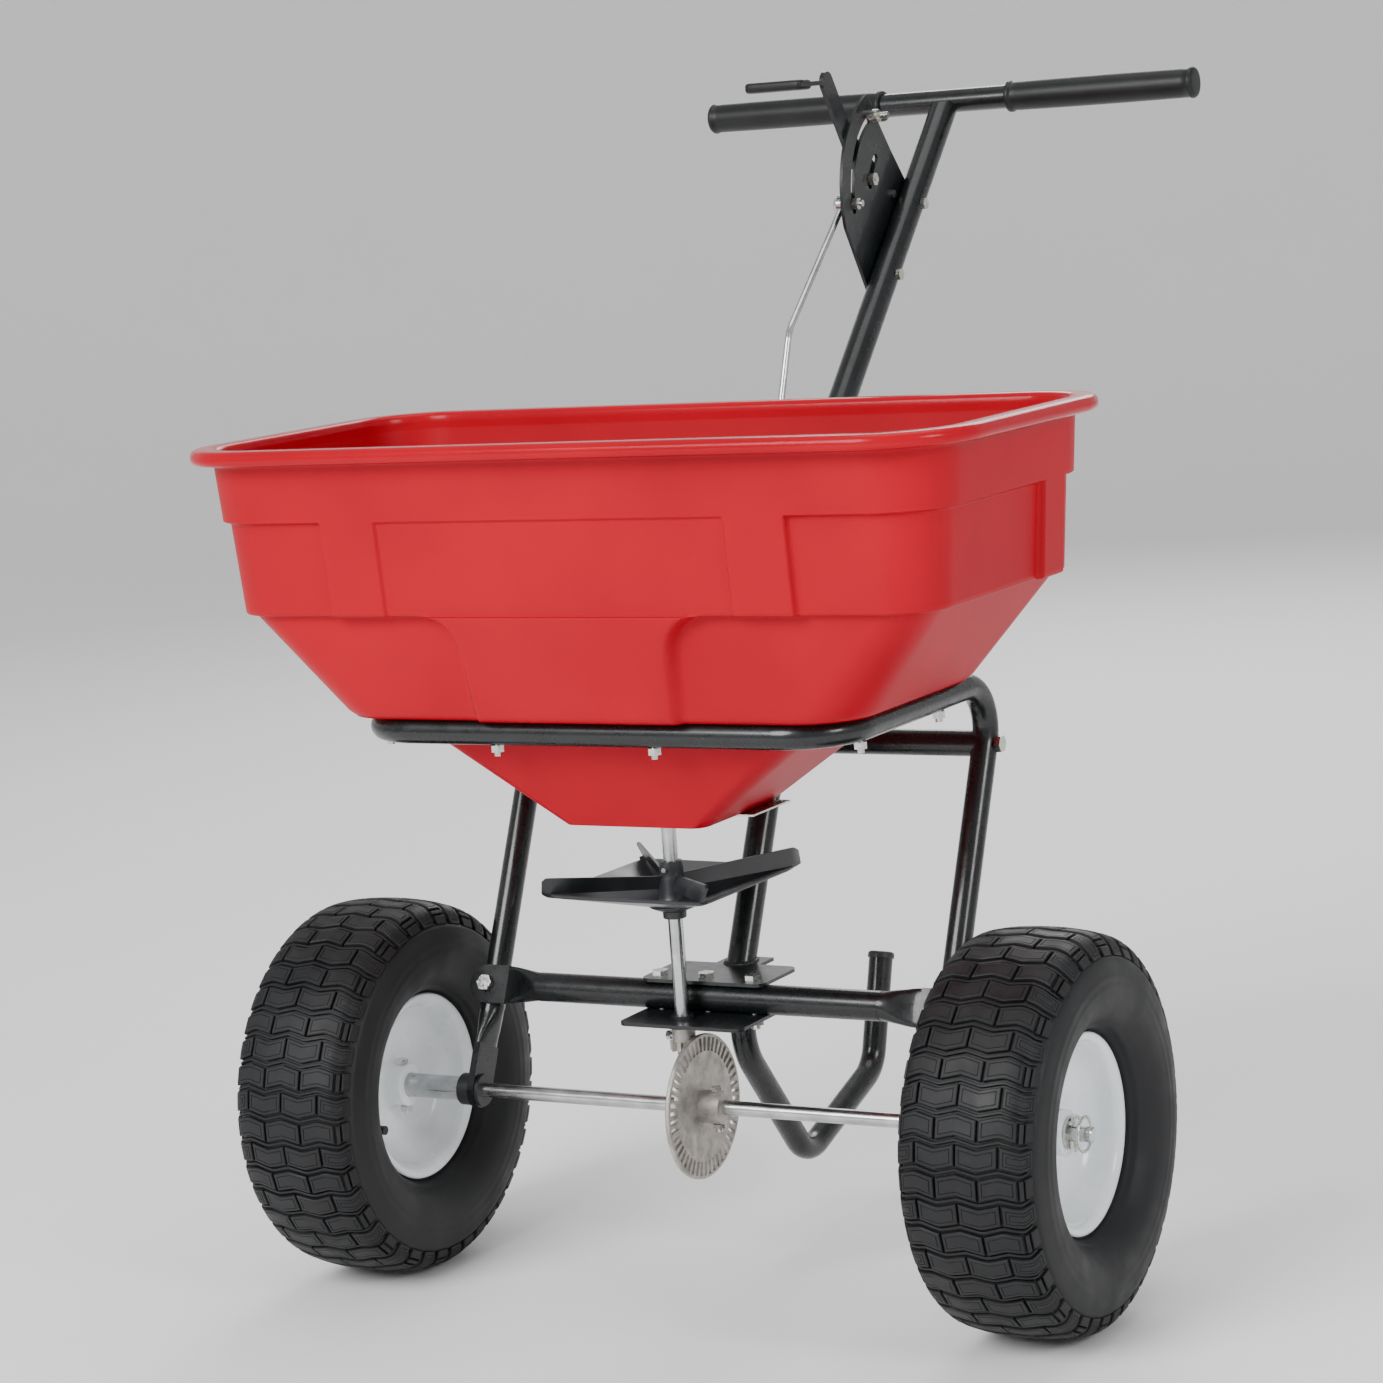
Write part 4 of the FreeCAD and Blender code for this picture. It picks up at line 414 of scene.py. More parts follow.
def floor_paint(colour):
    # Matt emulsion on a studio floor.
    material, tree, shader = finish("emulsion_matt_pale", ior=1.45)
    slow = grain(tree, 0.9)
    tint = ramp(tree, slow.outputs["Fac"], [(0.2, colour), (0.9, "FBFBFB")])
    fine = grain(tree, 0.004)
    surface(tree, shader, tint.outputs["Color"], 0.75, fine.outputs["Fac"], 0.05, 0.0002)
    return material


SHOP = {}


def material_of(name):
    """Materials by finish, each made once."""
    if not SHOP:
        colours = bpy.context.scene.spreader_colours
        SHOP.update({
            "hopper_red": moulded_polypropylene(tuple(colours.hopper) + (1.0,),
                                                tuple(colours.hopper_shade) + (1.0,)),
            "frame_black": powder_coat("powder_coat_gloss_black", "101213", "1B1F21"),
            "plate_steel": powder_coat("powder_coat_satin_black", "141618", "202527",
                                       roughness=0.3, size=0.0011),
            "zinc": zinc_plate(),
            "bright_steel": drawn_bar("steel_drawn_bar_across", (0.05, 1.0, 1.0)),
            "shaft_steel": drawn_bar("steel_drawn_bar_upright", (1.0, 1.0, 0.05)),
            "grip_vinyl": dipped_vinyl(),
            "black_plastic": moulded_nylon("nylon_filled_charcoal", "1C1E21", "2F3236"),
            "bearing_black": moulded_nylon("acetal_moulded_black", "151617", "26282B", 0.4),
            "cast_gear": sintered_iron(),
            "rim_white": enamel_white(tuple(colours.rim) + (1.0,)),
            "white_plastic": white_polythene(),
            "tyre_rubber": tyre_rubber(tuple(colours.tyre) + (1.0,), "1D1E20"),
            "valve_rubber": dipped_vinyl(),
            "sticker_yellow": printed_vinyl(),
        })
    return SHOP[name]


# ---------------------------------------------------------------- geometry nodes
def new_tree(name, sizes):
    """A geometry tree with a mesh in, a mesh out, a material and named sizes."""
    tree = bpy.data.node_groups.new(name, "GeometryNodeTree")
    tree.interface.new_socket("Geometry", in_out="INPUT", socket_type="NodeSocketGeometry")
    for label, kind in sizes:
        tree.interface.new_socket(label, in_out="INPUT", socket_type=kind)
    tree.interface.new_socket("Geometry", in_out="OUTPUT", socket_type="NodeSocketGeometry")
    return tree, add(tree, "NodeGroupInput"), add(tree, "NodeGroupOutput")


def end_tree(tree, out, geometry, material):
    """Realize the instances, keep them smooth where they were, and set the material."""
    real = add(tree, "GeometryNodeRealizeInstances", {"Geometry": geometry})
    painted = add(tree, "GeometryNodeSetMaterial",
                  {"Geometry": real.outputs["Geometry"], "Material": material})
    tree.links.new(painted.outputs["Geometry"], out.inputs["Geometry"])


def ring_tree():
    """Copies of the incoming mesh turned evenly round the X axis."""
    tree, source, out = new_tree("tread_round_the_tyre", [
        ("Rows", "NodeSocketInt"), ("Material", "NodeSocketMaterial")])
    spots = add(tree, "GeometryNodeMeshLine", {
        "Count": source.outputs["Rows"], "Offset": (0.0, 0.0, 0.0)})
    index = add(tree, "GeometryNodeInputIndex")
    pitch = add(tree, "ShaderNodeMath", {0: 2 * math.pi, 1: source.outputs["Rows"]},
                operation="DIVIDE")
    turn = add(tree, "ShaderNodeMath", {0: index.outputs["Index"], 1: pitch.outputs["Value"]},
               operation="MULTIPLY")
    angle = add(tree, "ShaderNodeCombineXYZ", {"X": turn.outputs["Value"]})
    copies = add(tree, "GeometryNodeInstanceOnPoints", {
        "Points": spots.outputs["Mesh"], "Instance": source.outputs["Geometry"],
        "Rotation": angle.outputs["Vector"]})
    end_tree(tree, out, copies.outputs["Instances"], source.outputs["Material"])
    return tree


def weld_tree():
    """A row of overlapping ripples along the incoming edge loop, as a weld bead."""
    tree, source, out = new_tree("weld_bead", [
        ("Ripples", "NodeSocketInt"), ("Ripple radius", "NodeSocketFloat"),
        ("Uneven", "NodeSocketFloat"), ("Material", "NodeSocketMaterial")])
    line = add(tree, "GeometryNodeMeshToCurve", {"Mesh": source.outputs["Geometry"]})
    even = add(tree, "GeometryNodeResampleCurve", {
        "Curve": line.outputs["Curve"], "Count": source.outputs["Ripples"]})
    drop = add(tree, "GeometryNodeMeshUVSphere", {
        "Segments": 14, "Rings": 8, "Radius": source.outputs["Ripple radius"]})
    rounded = add(tree, "GeometryNodeSetShadeSmooth", {"Geometry": drop.outputs["Mesh"]})
    most = add(tree, "ShaderNodeMath", {0: 1.0, 1: source.outputs["Uneven"]}, operation="ADD")
    least = add(tree, "ShaderNodeMath", {0: 1.0, 1: source.outputs["Uneven"]},
                operation="SUBTRACT")
    uneven = add(tree, "FunctionNodeRandomValue", {
        "Min": least.outputs["Value"], "Max": most.outputs["Value"], "Seed": 7},
        data_type="FLOAT")
    for name, end in (("Min", least), ("Max", most)):
        for socket in uneven.inputs:
            if socket.name == name and socket.type == "VALUE":
                tree.links.new(end.outputs["Value"], socket)
    amount = next(s for s in uneven.outputs if s.type == "VALUE" and s.enabled)
    copies = add(tree, "GeometryNodeInstanceOnPoints", {
        "Points": even.outputs["Curve"], "Instance": rounded.outputs["Geometry"],
        "Scale": amount})
    end_tree(tree, out, copies.outputs["Instances"], source.outputs["Material"])
    return tree


def grown(name, mesh, tree, values):
    """The plain mesh that a geometry tree makes of a mesh."""
    carrier = bpy.data.objects.new(name, mesh)
    bpy.context.scene.collection.objects.link(carrier)
    modifier = carrier.modifiers.new(name, "NODES")
    modifier.node_group = tree
    for item in tree.interface.items_tree:
        if item.item_type == "SOCKET" and item.in_out == "INPUT" and item.name in values:
            modifier[item.identifier] = values[item.name]
    carrier.update_tag()
    bpy.context.view_layer.update()
    ready = carrier.evaluated_get(bpy.context.evaluated_depsgraph_get())
    result = bpy.data.meshes.new_from_object(ready)
    carrier.modifiers.remove(modifier)
    bpy.data.objects.remove(carrier)
    return result


# ---------------------------------------------------------------- sizes a user may change
class SpreaderColours(bpy.types.PropertyGroup):
    """Colours of the painted and moulded pieces"""
    hopper: FloatVectorProperty(
        name="Hopper", description="Red of the hopper's walls", subtype="COLOR", size=3,
        min=0.0, max=1.0, default=linear("B8001E")[:3])
    hopper_shade: FloatVectorProperty(
        name="Hopper shade", description="Darker red between the lighter swells",
        subtype="COLOR", size=3, min=0.0, max=1.0, default=linear("A8001B")[:3])
    rim: FloatVectorProperty(
        name="Rim", description="White of the wheel rims", subtype="COLOR", size=3,
        min=0.0, max=1.0, default=linear("F4F8FA")[:3])
    tyre: FloatVectorProperty(
        name="Tyre", description="Black of the tyres", subtype="COLOR", size=3,
        min=0.0, max=1.0, default=linear("141517")[:3])
    floor: FloatVectorProperty(
        name="Floor", description="Pale floor and backdrop", subtype="COLOR", size=3,
        min=0.0, max=1.0, default=linear("F7F7F7")[:3])


class HopperSizes(bpy.types.PropertyGroup):
    """Sizes of the moulded hopper"""
    wall: FloatProperty(
        name="Wall", description="Thickness of the moulded wall", unit="LENGTH",
        min=0.002, max=0.006, default=0.004)
    corner_recess: FloatProperty(
        name="Corner recess", description="Depth of the recess that runs round each corner",
        unit="LENGTH", min=0.0, max=0.01, default=0.006)
    panel_recess: FloatProperty(
        name="Panel recess", description="Depth of the smooth middle panel",
        unit="LENGTH", min=0.0, max=0.01, default=0.003)
    waist_step: FloatProperty(
        name="Waist step", description="How far the lower part steps in under the waist",
        unit="LENGTH", min=0.0, max=0.018, default=0.014)


class TyreSizes(bpy.types.PropertyGroup):
    """Sizes of the tread"""
    rows: IntProperty(
        name="Rows", description="Pairs of block rows round the tyre", min=12, max=30,
        default=22)
    depth: FloatProperty(
        name="Tread depth", description="Height of a block over the groove floor",
        unit="LENGTH", min=0.001, max=0.006, default=0.0036)
    block: FloatProperty(
        name="Block length", description="Length of a block along the tyre's way",
        unit="LENGTH", min=0.01, max=0.02, default=0.0164)
    zigzag: FloatProperty(
        name="Zigzag", description="How far the block edges swing to each side",
        unit="LENGTH", min=0.0, max=0.004, default=0.0022)


class WeldSizes(bpy.types.PropertyGroup):
    """Sizes of the weld beads"""
    ripple: FloatProperty(
        name="Ripple", description="Radius of one ripple of the bead", unit="LENGTH",
        min=0.001, max=0.005, default=0.0027)
    uneven: FloatProperty(
        name="Unevenness", description="How much the ripples differ in size", min=0.0,
        max=0.5, default=0.12)


# ---------------------------------------------------------------- hopper
HOPPER_Y = (HOPPER_LOW.y + HOPPER_HIGH.y) / 2
LIP_H, LIP_OUT = 13.0, 19.0
LIP_Z = HOPPER_HIGH.z - LIP_H
HALF_W = HOPPER_HIGH.x - LIP_OUT
HALF_D = (HOPPER_HIGH.y - HOPPER_LOW.y) / 2 - LIP_OUT
CORNER_R, DRAFT = 60.0, 0.08
BAND_Z, WAIST_Z = LIP_Z - 48.0, LIP_Z - 127.5
FLOOR_Z = HOPPER_LOW.z
PILASTER_IN, PILASTER_OUT = 161.0, 215.0
SIDE_PILASTER = (55.0, 95.0)                    # behind the hopper's middle
BULGE_HALF, BULGE_FOOT, BULGE_FLARE = 99.0, 94.0, 30.0
BULGE_FOOT_Y = -133.0                           # in front of the hopper's middle
SHELF = (242.0, -125.0, 132.0, 50.0)            # half width, front, back, corner
FUNNEL = (205.9, -94.9, 120.0, 30.0)
FLOOR = (66.6, -56.0, 72.0, 12.0)
PORT_SPOTS = [(SHAFT_X + 20.0 * k, 25.5, 8.5) for k in (-1, 0, 1)]


def shrink(outline, inset):
    half, front, back, corner = outline
    return half - inset, front + inset, back - inset, max(corner - inset, 3.0)


def wall_outline(z, inset):
    come_in = DRAFT * max(LIP_Z - z, 0.0) + inset
    return (HALF_W - come_in, come_in - HALF_D, HALF_D - come_in,
            max(CORNER_R - come_in, 12.0))


def hopper_samples():
    """Places round the outline: (side, share along it), closer where a step or edge runs."""
    straight = HALF_W - CORNER_R

    def marks(edges, fine, coarse, dense=()):
        values = set()
        for start, end, step in [(-1.0, 1.0, coarse / straight)] + list(dense):
            values.update(round(v, 5) for v in spread(start, end, step))
        for edge in edges:
            for k in range(-3, 4):
                values.add(round((edge + k * fine) / straight, 5))
        kept = []
        for value in sorted(v for v in values if -1.0 <= v <= 1.0):
            if not kept or value - kept[-1] > 0.6 * fine / straight:
                kept.append(value)
        kept[-1] = 1.0
        return kept

    pilasters = [s * x for s in (-1, 1) for x in (PILASTER_IN, PILASTER_OUT)]
    bulge = [(-0.64, -0.28, 2.4 / straight), (0.28, 0.64, 2.4 / straight)]
    front = marks(pilasters, 0.9, 12.0, bulge)
    back = marks(pilasters, 0.9, 14.0)
    side_straight = HALF_D - CORNER_R
    side = sorted(set(round(v, 4) for v in spread(-1.0, 1.0, 12.0 / side_straight)) | {
        round((edge + k * 0.9) / side_straight, 4) for edge in SIDE_PILASTER
        for k in range(-3, 4)})
    samples = [("front", v) for v in front]
    turn = [(k + 1) / 16 for k in range(15)]
    samples += [("front right", v) for v in turn] + [("right", v) for v in side if abs(v) <= 1]
    samples += [("back right", v) for v in turn] + [("back", v) for v in reversed(back)]
    samples += [("back left", v) for v in turn]
    samples += [("left", v) for v in reversed(side) if abs(v) <= 1]
    samples += [("front left", v) for v in turn]
    return samples


def on_outline(sample, outline):
    """Place (x, y) and outward way of a sample on a rounded rectangle."""
    where, share = sample
    half, front, back, corner = outline
    middle, reach = (front + back) / 2, (back - front) / 2 - corner
    if where in ("front", "back"):
        sign = -1 if where == "front" else 1
        return share * (half - corner), front if sign < 0 else back, 0.0, sign
    if where in ("left", "right"):
        sign = -1 if where == "left" else 1
        return sign * half, middle + share * reach, sign, 0.0
    start = {"front right": -90, "back right": 0, "back left": 90, "front left": 180}[where]
    angle = math.radians(start + 90 * share)
    way = math.cos(angle), math.sin(angle)
    centre_x = (half - corner) * (1 if "right" in where else -1)
    centre_y = middle + reach * (1 if "back" in where else -1)
    return centre_x + way[0] * corner, centre_y + way[1] * corner, way[0], way[1]


def hopper_recess(sample, x, y, sizes):
    """How deep the panelled band is let in at a place round the wall."""
    soft = 2.6
    deep, panel = sizes.corner_recess / MM, sizes.panel_recess / MM
    where = sample[0]
    if where in ("front", "back"):
        inner = smooth((PILASTER_IN - abs(x)) / soft + 0.5)
        outer = smooth((abs(x) - PILASTER_OUT) / soft + 0.5)
        return panel * inner + deep * outer
    if where in ("left", "right"):
        start, end = SIDE_PILASTER
        proud = smooth((y - start) / soft + 0.5) * smooth((end - y) / soft + 0.5)
        return deep * (1 - proud)
    return deep


def hopper_ring(samples, kind, z, sizes, inset=0.0, share=0.0, shift=0.0):
    """One ring of the shell: kind says which part of the wall it belongs to."""
    taper_step = sizes.waist_step / MM
    ring = []
    waist = wall_outline(WAIST_Z, taper_step + inset)
    up = (min(z, WAIST_Z) - SHELF_Z) / (WAIST_Z - SHELF_Z)
    taper = mix(shrink(SHELF, inset), waist, up)
    for sample in samples:
        if kind in ("wall", "ledge"):
            x, y, nx, ny = on_outline(sample, wall_outline(z, inset))
            let_in = smooth((BAND_Z - z) / 3.0) * hopper_recess(sample, x, y, sizes)
            wall = (x - nx * let_in, y - ny * let_in)
        if kind in ("taper", "ledge", "shelf"):
            x, y, nx, ny = on_outline(sample, taper)
            if sample[0] == "front":
                flare = max(0.0, z - (WAIST_Z - BULGE_FLARE))
                edge = BULGE_FOOT + (BULGE_HALF - BULGE_FOOT) * min(up * 1.2, 1.0)
                edge += BULGE_FLARE - math.sqrt(max(BULGE_FLARE ** 2 - flare ** 2, 0.0))
                face = wall_outline(WAIST_Z, inset)[1]
                face += (BULGE_FOOT_Y + inset - face) * (1 - up)
                y += (face - y) * smooth((edge - abs(x)) / 9.0 + 0.5)
            low = (x, y)
        if kind == "wall":
            x, y = wall
        elif kind == "ledge":
            x, y = mix(wall, low, share)
        elif kind == "shelf":
            inner = on_outline(sample, shrink(FUNNEL, inset))
            x, y = mix(low, inner[:2], share)
        elif kind == "funnel":
            down = (z - FLOOR_Z) / (SHELF_Z - FLOOR_Z)
            x, y = on_outline(sample, mix(shrink(FLOOR, inset), shrink(FUNNEL, inset), down))[:2]
        ring.append((x, y + HOPPER_Y, z + shift))
    return ring


def hopper_shell_rings(samples, sizes):
    """Rings from the outer floor edge up over the lip and down to the inner floor edge."""
    def skin(extra, rise):
        rows = [("funnel", z, 0.0, 0.0) for z in spread(FLOOR_Z, SHELF_Z - 1.5, 8.0)]
        rows += [("shelf", SHELF_Z, 1.5, s) for s in (1.0, 0.6, 0.25, 0.02)]
        rows += [("taper", SHELF_Z + h, i, 0.0) for h, i in
                 ((0.5, 3.2), (1.7, 1.6), (3.4, 0.6), (6.0, 0.0))]
        rows += [("taper", z, 0.0, 0.0) for z in spread(SHELF_Z + 12, WAIST_Z - 34, 7.0)]
        rows += [("taper", z, 0.0, 0.0) for z in spread(WAIST_Z - 31, WAIST_Z - 2, 1.9)]
        rows += [("ledge", WAIST_Z + h, 0.0, s) for h, s in
                 ((-0.8, 0.95), (-0.3, 0.75), (-0.1, 0.4), (0.3, 0.12), (1.6, 0.0))]
        rows += [("wall", z, 0.0, 0.0) for z in spread(WAIST_Z + 5, BAND_Z - 6, 8.0)]
        rows += [("wall", BAND_Z - h, 0.0, 0.0) for h in (4.0, 3.0, 2.3, 1.6, 0.9, 0.2, -1.0)]
        rows += [("wall", z, 0.0, 0.0) for z in spread(BAND_Z + 8, LIP_Z - 10, 10.0)]
        rings = []
        for kind, z, inset, share in rows:
            lift = rise * (1 - smooth((z - WAIST_Z) / 12.0))
            rings.append(hopper_ring(samples, kind, z, sizes, inset + extra, share, lift))
        return rings

    thick = sizes.wall / MM
    lip = [(0.0, -3.5), (0.8, -1.0), (2.6, 0.0), (3.6, 6.5), (12.0, 7.0), (13.4, 0.6),
           (15.5, 0.5), (17.6, 1.9), (18.8, 4.2), (19.0, 6.8), (18.6, 9.2), (17.2, 11.4),
           (14.8, 12.7), (12.0, 13.0), (4.0, 13.0), (-0.6, 12.7), (-2.8, 11.4),
           (-thick + 0.1, 9.0), (-thick, 5.0)]
    rim = [hopper_ring(samples, "wall", LIP_Z + up, sizes, -out) for out, up in lip]
    return skin(0.0, 0.0) + rim + list(reversed(skin(thick, thick)))


def hopper_floor(mesh, count, ring_total, sizes):
    """Close the floor between its two edges, leaving the bearing hole and the three ports."""
    work = bmesh.new()
    work.from_mesh(mesh)
    work.verts.ensure_lookup_table()
    low = [work.verts[k] for k in range(count)]
    high = [work.verts[(ring_total - 1) * count + k] for k in range(count)]
    sheets = []
    for loop in (low, high):
        edges = []
        for k in range(count):
            pair = (loop[k], loop[(k + 1) % count])
            edges.append(work.edges.get(pair) or work.edges.new(pair))
        sheets.append(edges)
    thick = sizes.wall / MM
    sides = 28                                   # of each round hole
    for x, y, radius in PORT_SPOTS + [(SHAFT_X, 0.0, SHAFT_HOLE_R)]:
        rings = []
        for z in (FLOOR_Z, FLOOR_Z + thick):
            ring = []
            for k in range(sides):
                angle = 2 * math.pi * k / sides
                ring.append(work.verts.new((x + radius * math.cos(angle),
                                            y + radius * math.sin(angle), z)))
            rings.append(ring)
        for edges, ring in zip(sheets, rings):
            edges += [work.edges.new((ring[k], ring[(k + 1) % sides])) for k in range(sides)]
        for k in range(sides):
            nxt = (k + 1) % sides
            work.faces.new((rings[0][k], rings[0][nxt], rings[1][nxt], rings[1][k]))
    for edges in sheets:
        bmesh.ops.triangle_fill(work, use_beauty=True, edges=edges)
    work.to_mesh(mesh)
    work.free()


class SPREADER_OT_hopper(bpy.types.Operator):
    """Mould the hopper: rolled lip, plain band, recessed panels, bulge, shelf and funnel"""
    bl_idname = "spreader.hopper"
    bl_label = "Hopper"

    def execute(self, context):
        sizes = context.scene.spreader_hopper
        samples = hopper_samples()
        rings = hopper_shell_rings(samples, sizes)
        verts, faces = tube_of(rings)
        mesh = bpy.data.meshes.new("hopper_shell")
        mesh.from_pydata(verts, [], faces)
        hopper_floor(mesh, len(samples), len(rings), sizes)
        tidy_mesh(mesh, 50.0)
        mesh.transform(Matrix.Translation(AXLE) @ Matrix.Scale(MM, 4))
        show("hopper_shell", mesh, material_of("hopper_red"), "chassis",
             ["hopper"])
        return {"FINISHED"}


# ---------------------------------------------------------------- tyres
RIM_SIDE = RIM_HIGH.x - WHEEL_X                 # half the width over the rim's lips
TYRE_HALF = TYRE_HIGH.x - WHEEL_X
TREAD_REACH = 66.0                              # along the skin from the tyre's middle


def tyre_skin():
    """Right half of the tyre's outline, (x, radius), from the crown to the bead."""
    h, r = TYRE_HALF - 0.7, TYRE_R
    return through([
        (0.0, r), (16.0, r - 0.5), (30.0, r - 1.8), (h - 20, r - 4), (h - 14, r - 6.3),
        (h - 9.3, r - 10.4), (h - 6, r - 17), (h - 2.6, r - 26), (h - 0.6, r - 35),
        (h, r - 45), (h - 1.2, r - 55), (h - 4.6, r - 64), (h - 10.6, r - 72.2),
        (h - 18, r - 77.4), (h - 22.4, r - 79.4), (h - 26, r - 80.6), (h - 27.5, r - 82.6),
        (h - 27.5, r - 90)], 8)


def walk_skin(skin):
    """Distance along the skin to each of its points."""
    walked = [0.0]
    for a, b in zip(skin, skin[1:]):
        walked.append(walked[-1] + math.dist(a, b))
    return walked


def skin_at(skin, walked, along):
    """Place and outward way on the skin at a signed distance from the crown."""
    goal = abs(along)
    k = next((i for i in range(len(walked) - 2) if walked[i + 1] >= goal), len(walked) - 2)
    share = (goal - walked[k]) / max(walked[k + 1] - walked[k], 1e-9)
    x, r = mix(skin[k], skin[k + 1], share)
    ahead, behind = skin[min(k + 2, len(skin) - 1)], skin[max(k - 1, 0)]
    dx, dr = ahead[0] - behind[0], ahead[1] - behind[1]
    size = math.hypot(dx, dr)
    sign = 1 if along >= 0 else -1
    return sign * x, r, sign * -dr / size, dx / size


def casing_profile(skin, walked, depth):
    """Closed outline of the casing with the tread's groove floor let in and ring lines."""
    half = []
    for along in spread(0.0, walked[-1], 2.2):
        x, r, nx, nr = skin_at(skin, walked, along)
        sunk = depth * (1 - smooth((along - TREAD_REACH + 3) / 6.0))
        ridge = 0.0
        for place, height in ((84.0, 0.7), (92.0, 0.5), (128.0, 0.9), (136.0, 0.7)):
            ridge += height * math.exp(-((along - place) / 1.5) ** 2)
        half.append((x - nx * sunk + nx * min(ridge, 0.7) * 0.9, r - nr * sunk + nr * ridge))
    inner = [(TYRE_HALF - 37, RIM_HIGH.z - 9), (TYRE_HALF - 37, RIM_HIGH.z + 4),
             (TYRE_HALF - 12, TYRE_R - 60), (TYRE_HALF - 18, TYRE_R - 24), (0.0, TYRE_R - 14)]
    right = half + inner
    return right + [(-x, r) for x, r in reversed(right) if x > 1e-6]


def tread_rows(sizes):
    """Two rows of blocks and the two thin ribs beside them, standing on the crown."""
    skin = tyre_skin()
    walked = walk_skin(skin)
    swing, depth = sizes.zigzag / MM, sizes.depth / MM
    half_block = sizes.block / MM / 2
    pitch = 2 * math.pi * TYRE_R / sizes.rows / 2

    def zigzag(along):
        turns = abs(along) / 36.0 % 1.0
        return swing * (abs(4 * turns - 2) - 1)

    def spot(along, around, height):
        x, r, nx, nr = skin_at(skin, walked, along)
        angle = (around + zigzag(along)) / TYRE_R
        x, r = x + nx * (height - depth), r + nr * (height - depth)
        return x, r * math.sin(angle), r * math.cos(angle)

    def block(start, end, centre, half, steps, count):
        rings = []
        for inset, height in steps:
            places = [start + inset + (end - start - 2 * inset) * k / (count - 1)
                      for k in range(count)]
            ring = [spot(u, centre - half + inset, height) for u in places]
            ring += [spot(u, centre + half - inset, height) for u in reversed(places)]
            rings.append(ring)
        verts, faces = tube_of(rings)
        for first, flip in ((0, True), (len(verts) - 2 * count, False)):
            for k in range(count - 1):
                quad = (first + k, first + k + 1, first + 2 * count - 2 - k,
                        first + 2 * count - 1 - k)
                faces.append(quad[::-1] if flip else quad)
        return verts, faces

    full = [(-0.5, -0.8), (0.0, depth - 0.6), (0.6, depth)]
    nested = full + [(2.5, depth), (2.85, depth - 0.55), (3.15, depth - 0.55), (3.5, depth)]
    shoulder = nested + [(5.3, depth), (5.5, depth - 0.45), (5.8, depth - 0.45), (6.0, depth)]
    parts = []
    wide = [(1.0, 34.6, nested), (37.0, TREAD_REACH, shoulder)]
    for start, end, steps in wide:
        for sign in (-1, 1):
            low, high = sorted((sign * start, sign * end))
            parts.append(block(low, high, 0.0, half_block, steps, 11))
    parts.append(block(-17.0, 17.0, pitch, half_block, nested, 11))
    for start, end, steps in ((19.4, 50.0, nested), (52.4, 56.2, full),
                              (58.2, TREAD_REACH, full)):
        for sign in (-1, 1):
            low, high = sorted((sign * start, sign * end))
            count = 11 if end - start > 10 else 4
            parts.append(block(low, high, pitch, half_block, steps, count))
    rib = [(-0.3, -0.8), (0.0, depth * 0.5), (0.4, depth * 0.62)]
    for centre in (-pitch / 2, pitch / 2):
        parts.append(block(-TREAD_REACH + 4, TREAD_REACH - 4, centre, 1.15, rib, 45))
    return parts


class SPREADER_OT_tyres(bpy.types.Operator):
    """Mould both tyres: a smooth casing and rows of zigzag blocks round its crown"""
    bl_idname = "spreader.tyres"
    bl_label = "Tyres"

    def execute(self, context):
        sizes = context.scene.spreader_tyres
        rubber = material_of("tyre_rubber")
        skin = tyre_skin()
        profile = casing_profile(skin, walk_skin(skin), sizes.depth / MM)
        tree = ring_tree()
        for side, body, way in (("left", "axle_set", -1), ("right", "right_wheel", 1)):
            casing = fresh_mesh(side + "_tyre_casing",
                                [lathe(profile, 144, (way * WHEEL_X, 0.0, 0.0))], 60.0)
            show(side + "_tyre_casing", casing, rubber, body,
                 [side + "_tyre"])
            pair = fresh_mesh(side + "_tread_pair", tread_rows(sizes), 30.0,
                              offset=Vector())
            tread = grown(side + "_tyre_tread", pair, tree,
                          {"Rows": sizes.rows, "Material": rubber})
            tread.transform(Matrix.Translation(AXLE + Vector((way * WHEEL_X * MM, 0, 0))))
            show(side + "_tyre_tread", tread, rubber, body)
        return {"FINISHED"}


# ---------------------------------------------------------------- rims
HUB_R, HUB_HALF, HUB_BORE, HUB_HOLE_X = 19.0, 23.0, 10.35, 16.0
VALVE_LOW, VALVE_HIGH = edges_of("right_valve")


def rim_profile():
    """Closed outline of the pressed rim, (x, radius)."""
    lip, side = RIM_HIGH.z, RIM_SIDE
    dish = through([
        (side - 1.3, lip), (side - 0.2, lip - 1.0), (side, lip - 2.8), (side - 0.5, lip - 5.4),
        (side - 2.4, lip - 8.4), (side - 6, lip - 10.8), (side - 11, lip - 12),
        (side - 17, lip - 13.4), (side - 23, lip - 16.4), (side - 28.5, lip - 21.5),
        (side - 32.4, lip - 28.5), (side - 34.2, lip - 37), (side - 34.8, lip - 47),
        (side - 35, lip - 58), (side - 35, HUB_R - 2)], 4)
    seat = [(side - 2.2, lip - 0.2), (side - 3, lip - 2), (side - 3, lip - 8.4),
            (side - 12, lip - 9), (12.0, lip - 15.5), (9.0, lip - 16.0)]
    right = list(reversed(seat)) + dish
    return right + [(-x, r) for x, r in reversed(right)]


def hub_profile():
    """Closed outline of the hub tube with its weld to the web."""
    half = through([(2.2, 24.5), (3.4, 22.2), (4.8, 20.4), (7.0, HUB_R + 0.1),
                    (9.0, HUB_R), (HUB_HALF - 1.4, HUB_R)], 3)
    half += [(HUB_HALF - 0.4, HUB_R - 0.5), (HUB_HALF, HUB_R - 1.4),
             (HUB_HALF, HUB_BORE + 0.6), (HUB_HALF - 0.6, HUB_BORE)]
    return half + [(-x, r) for x, r in reversed(half)]


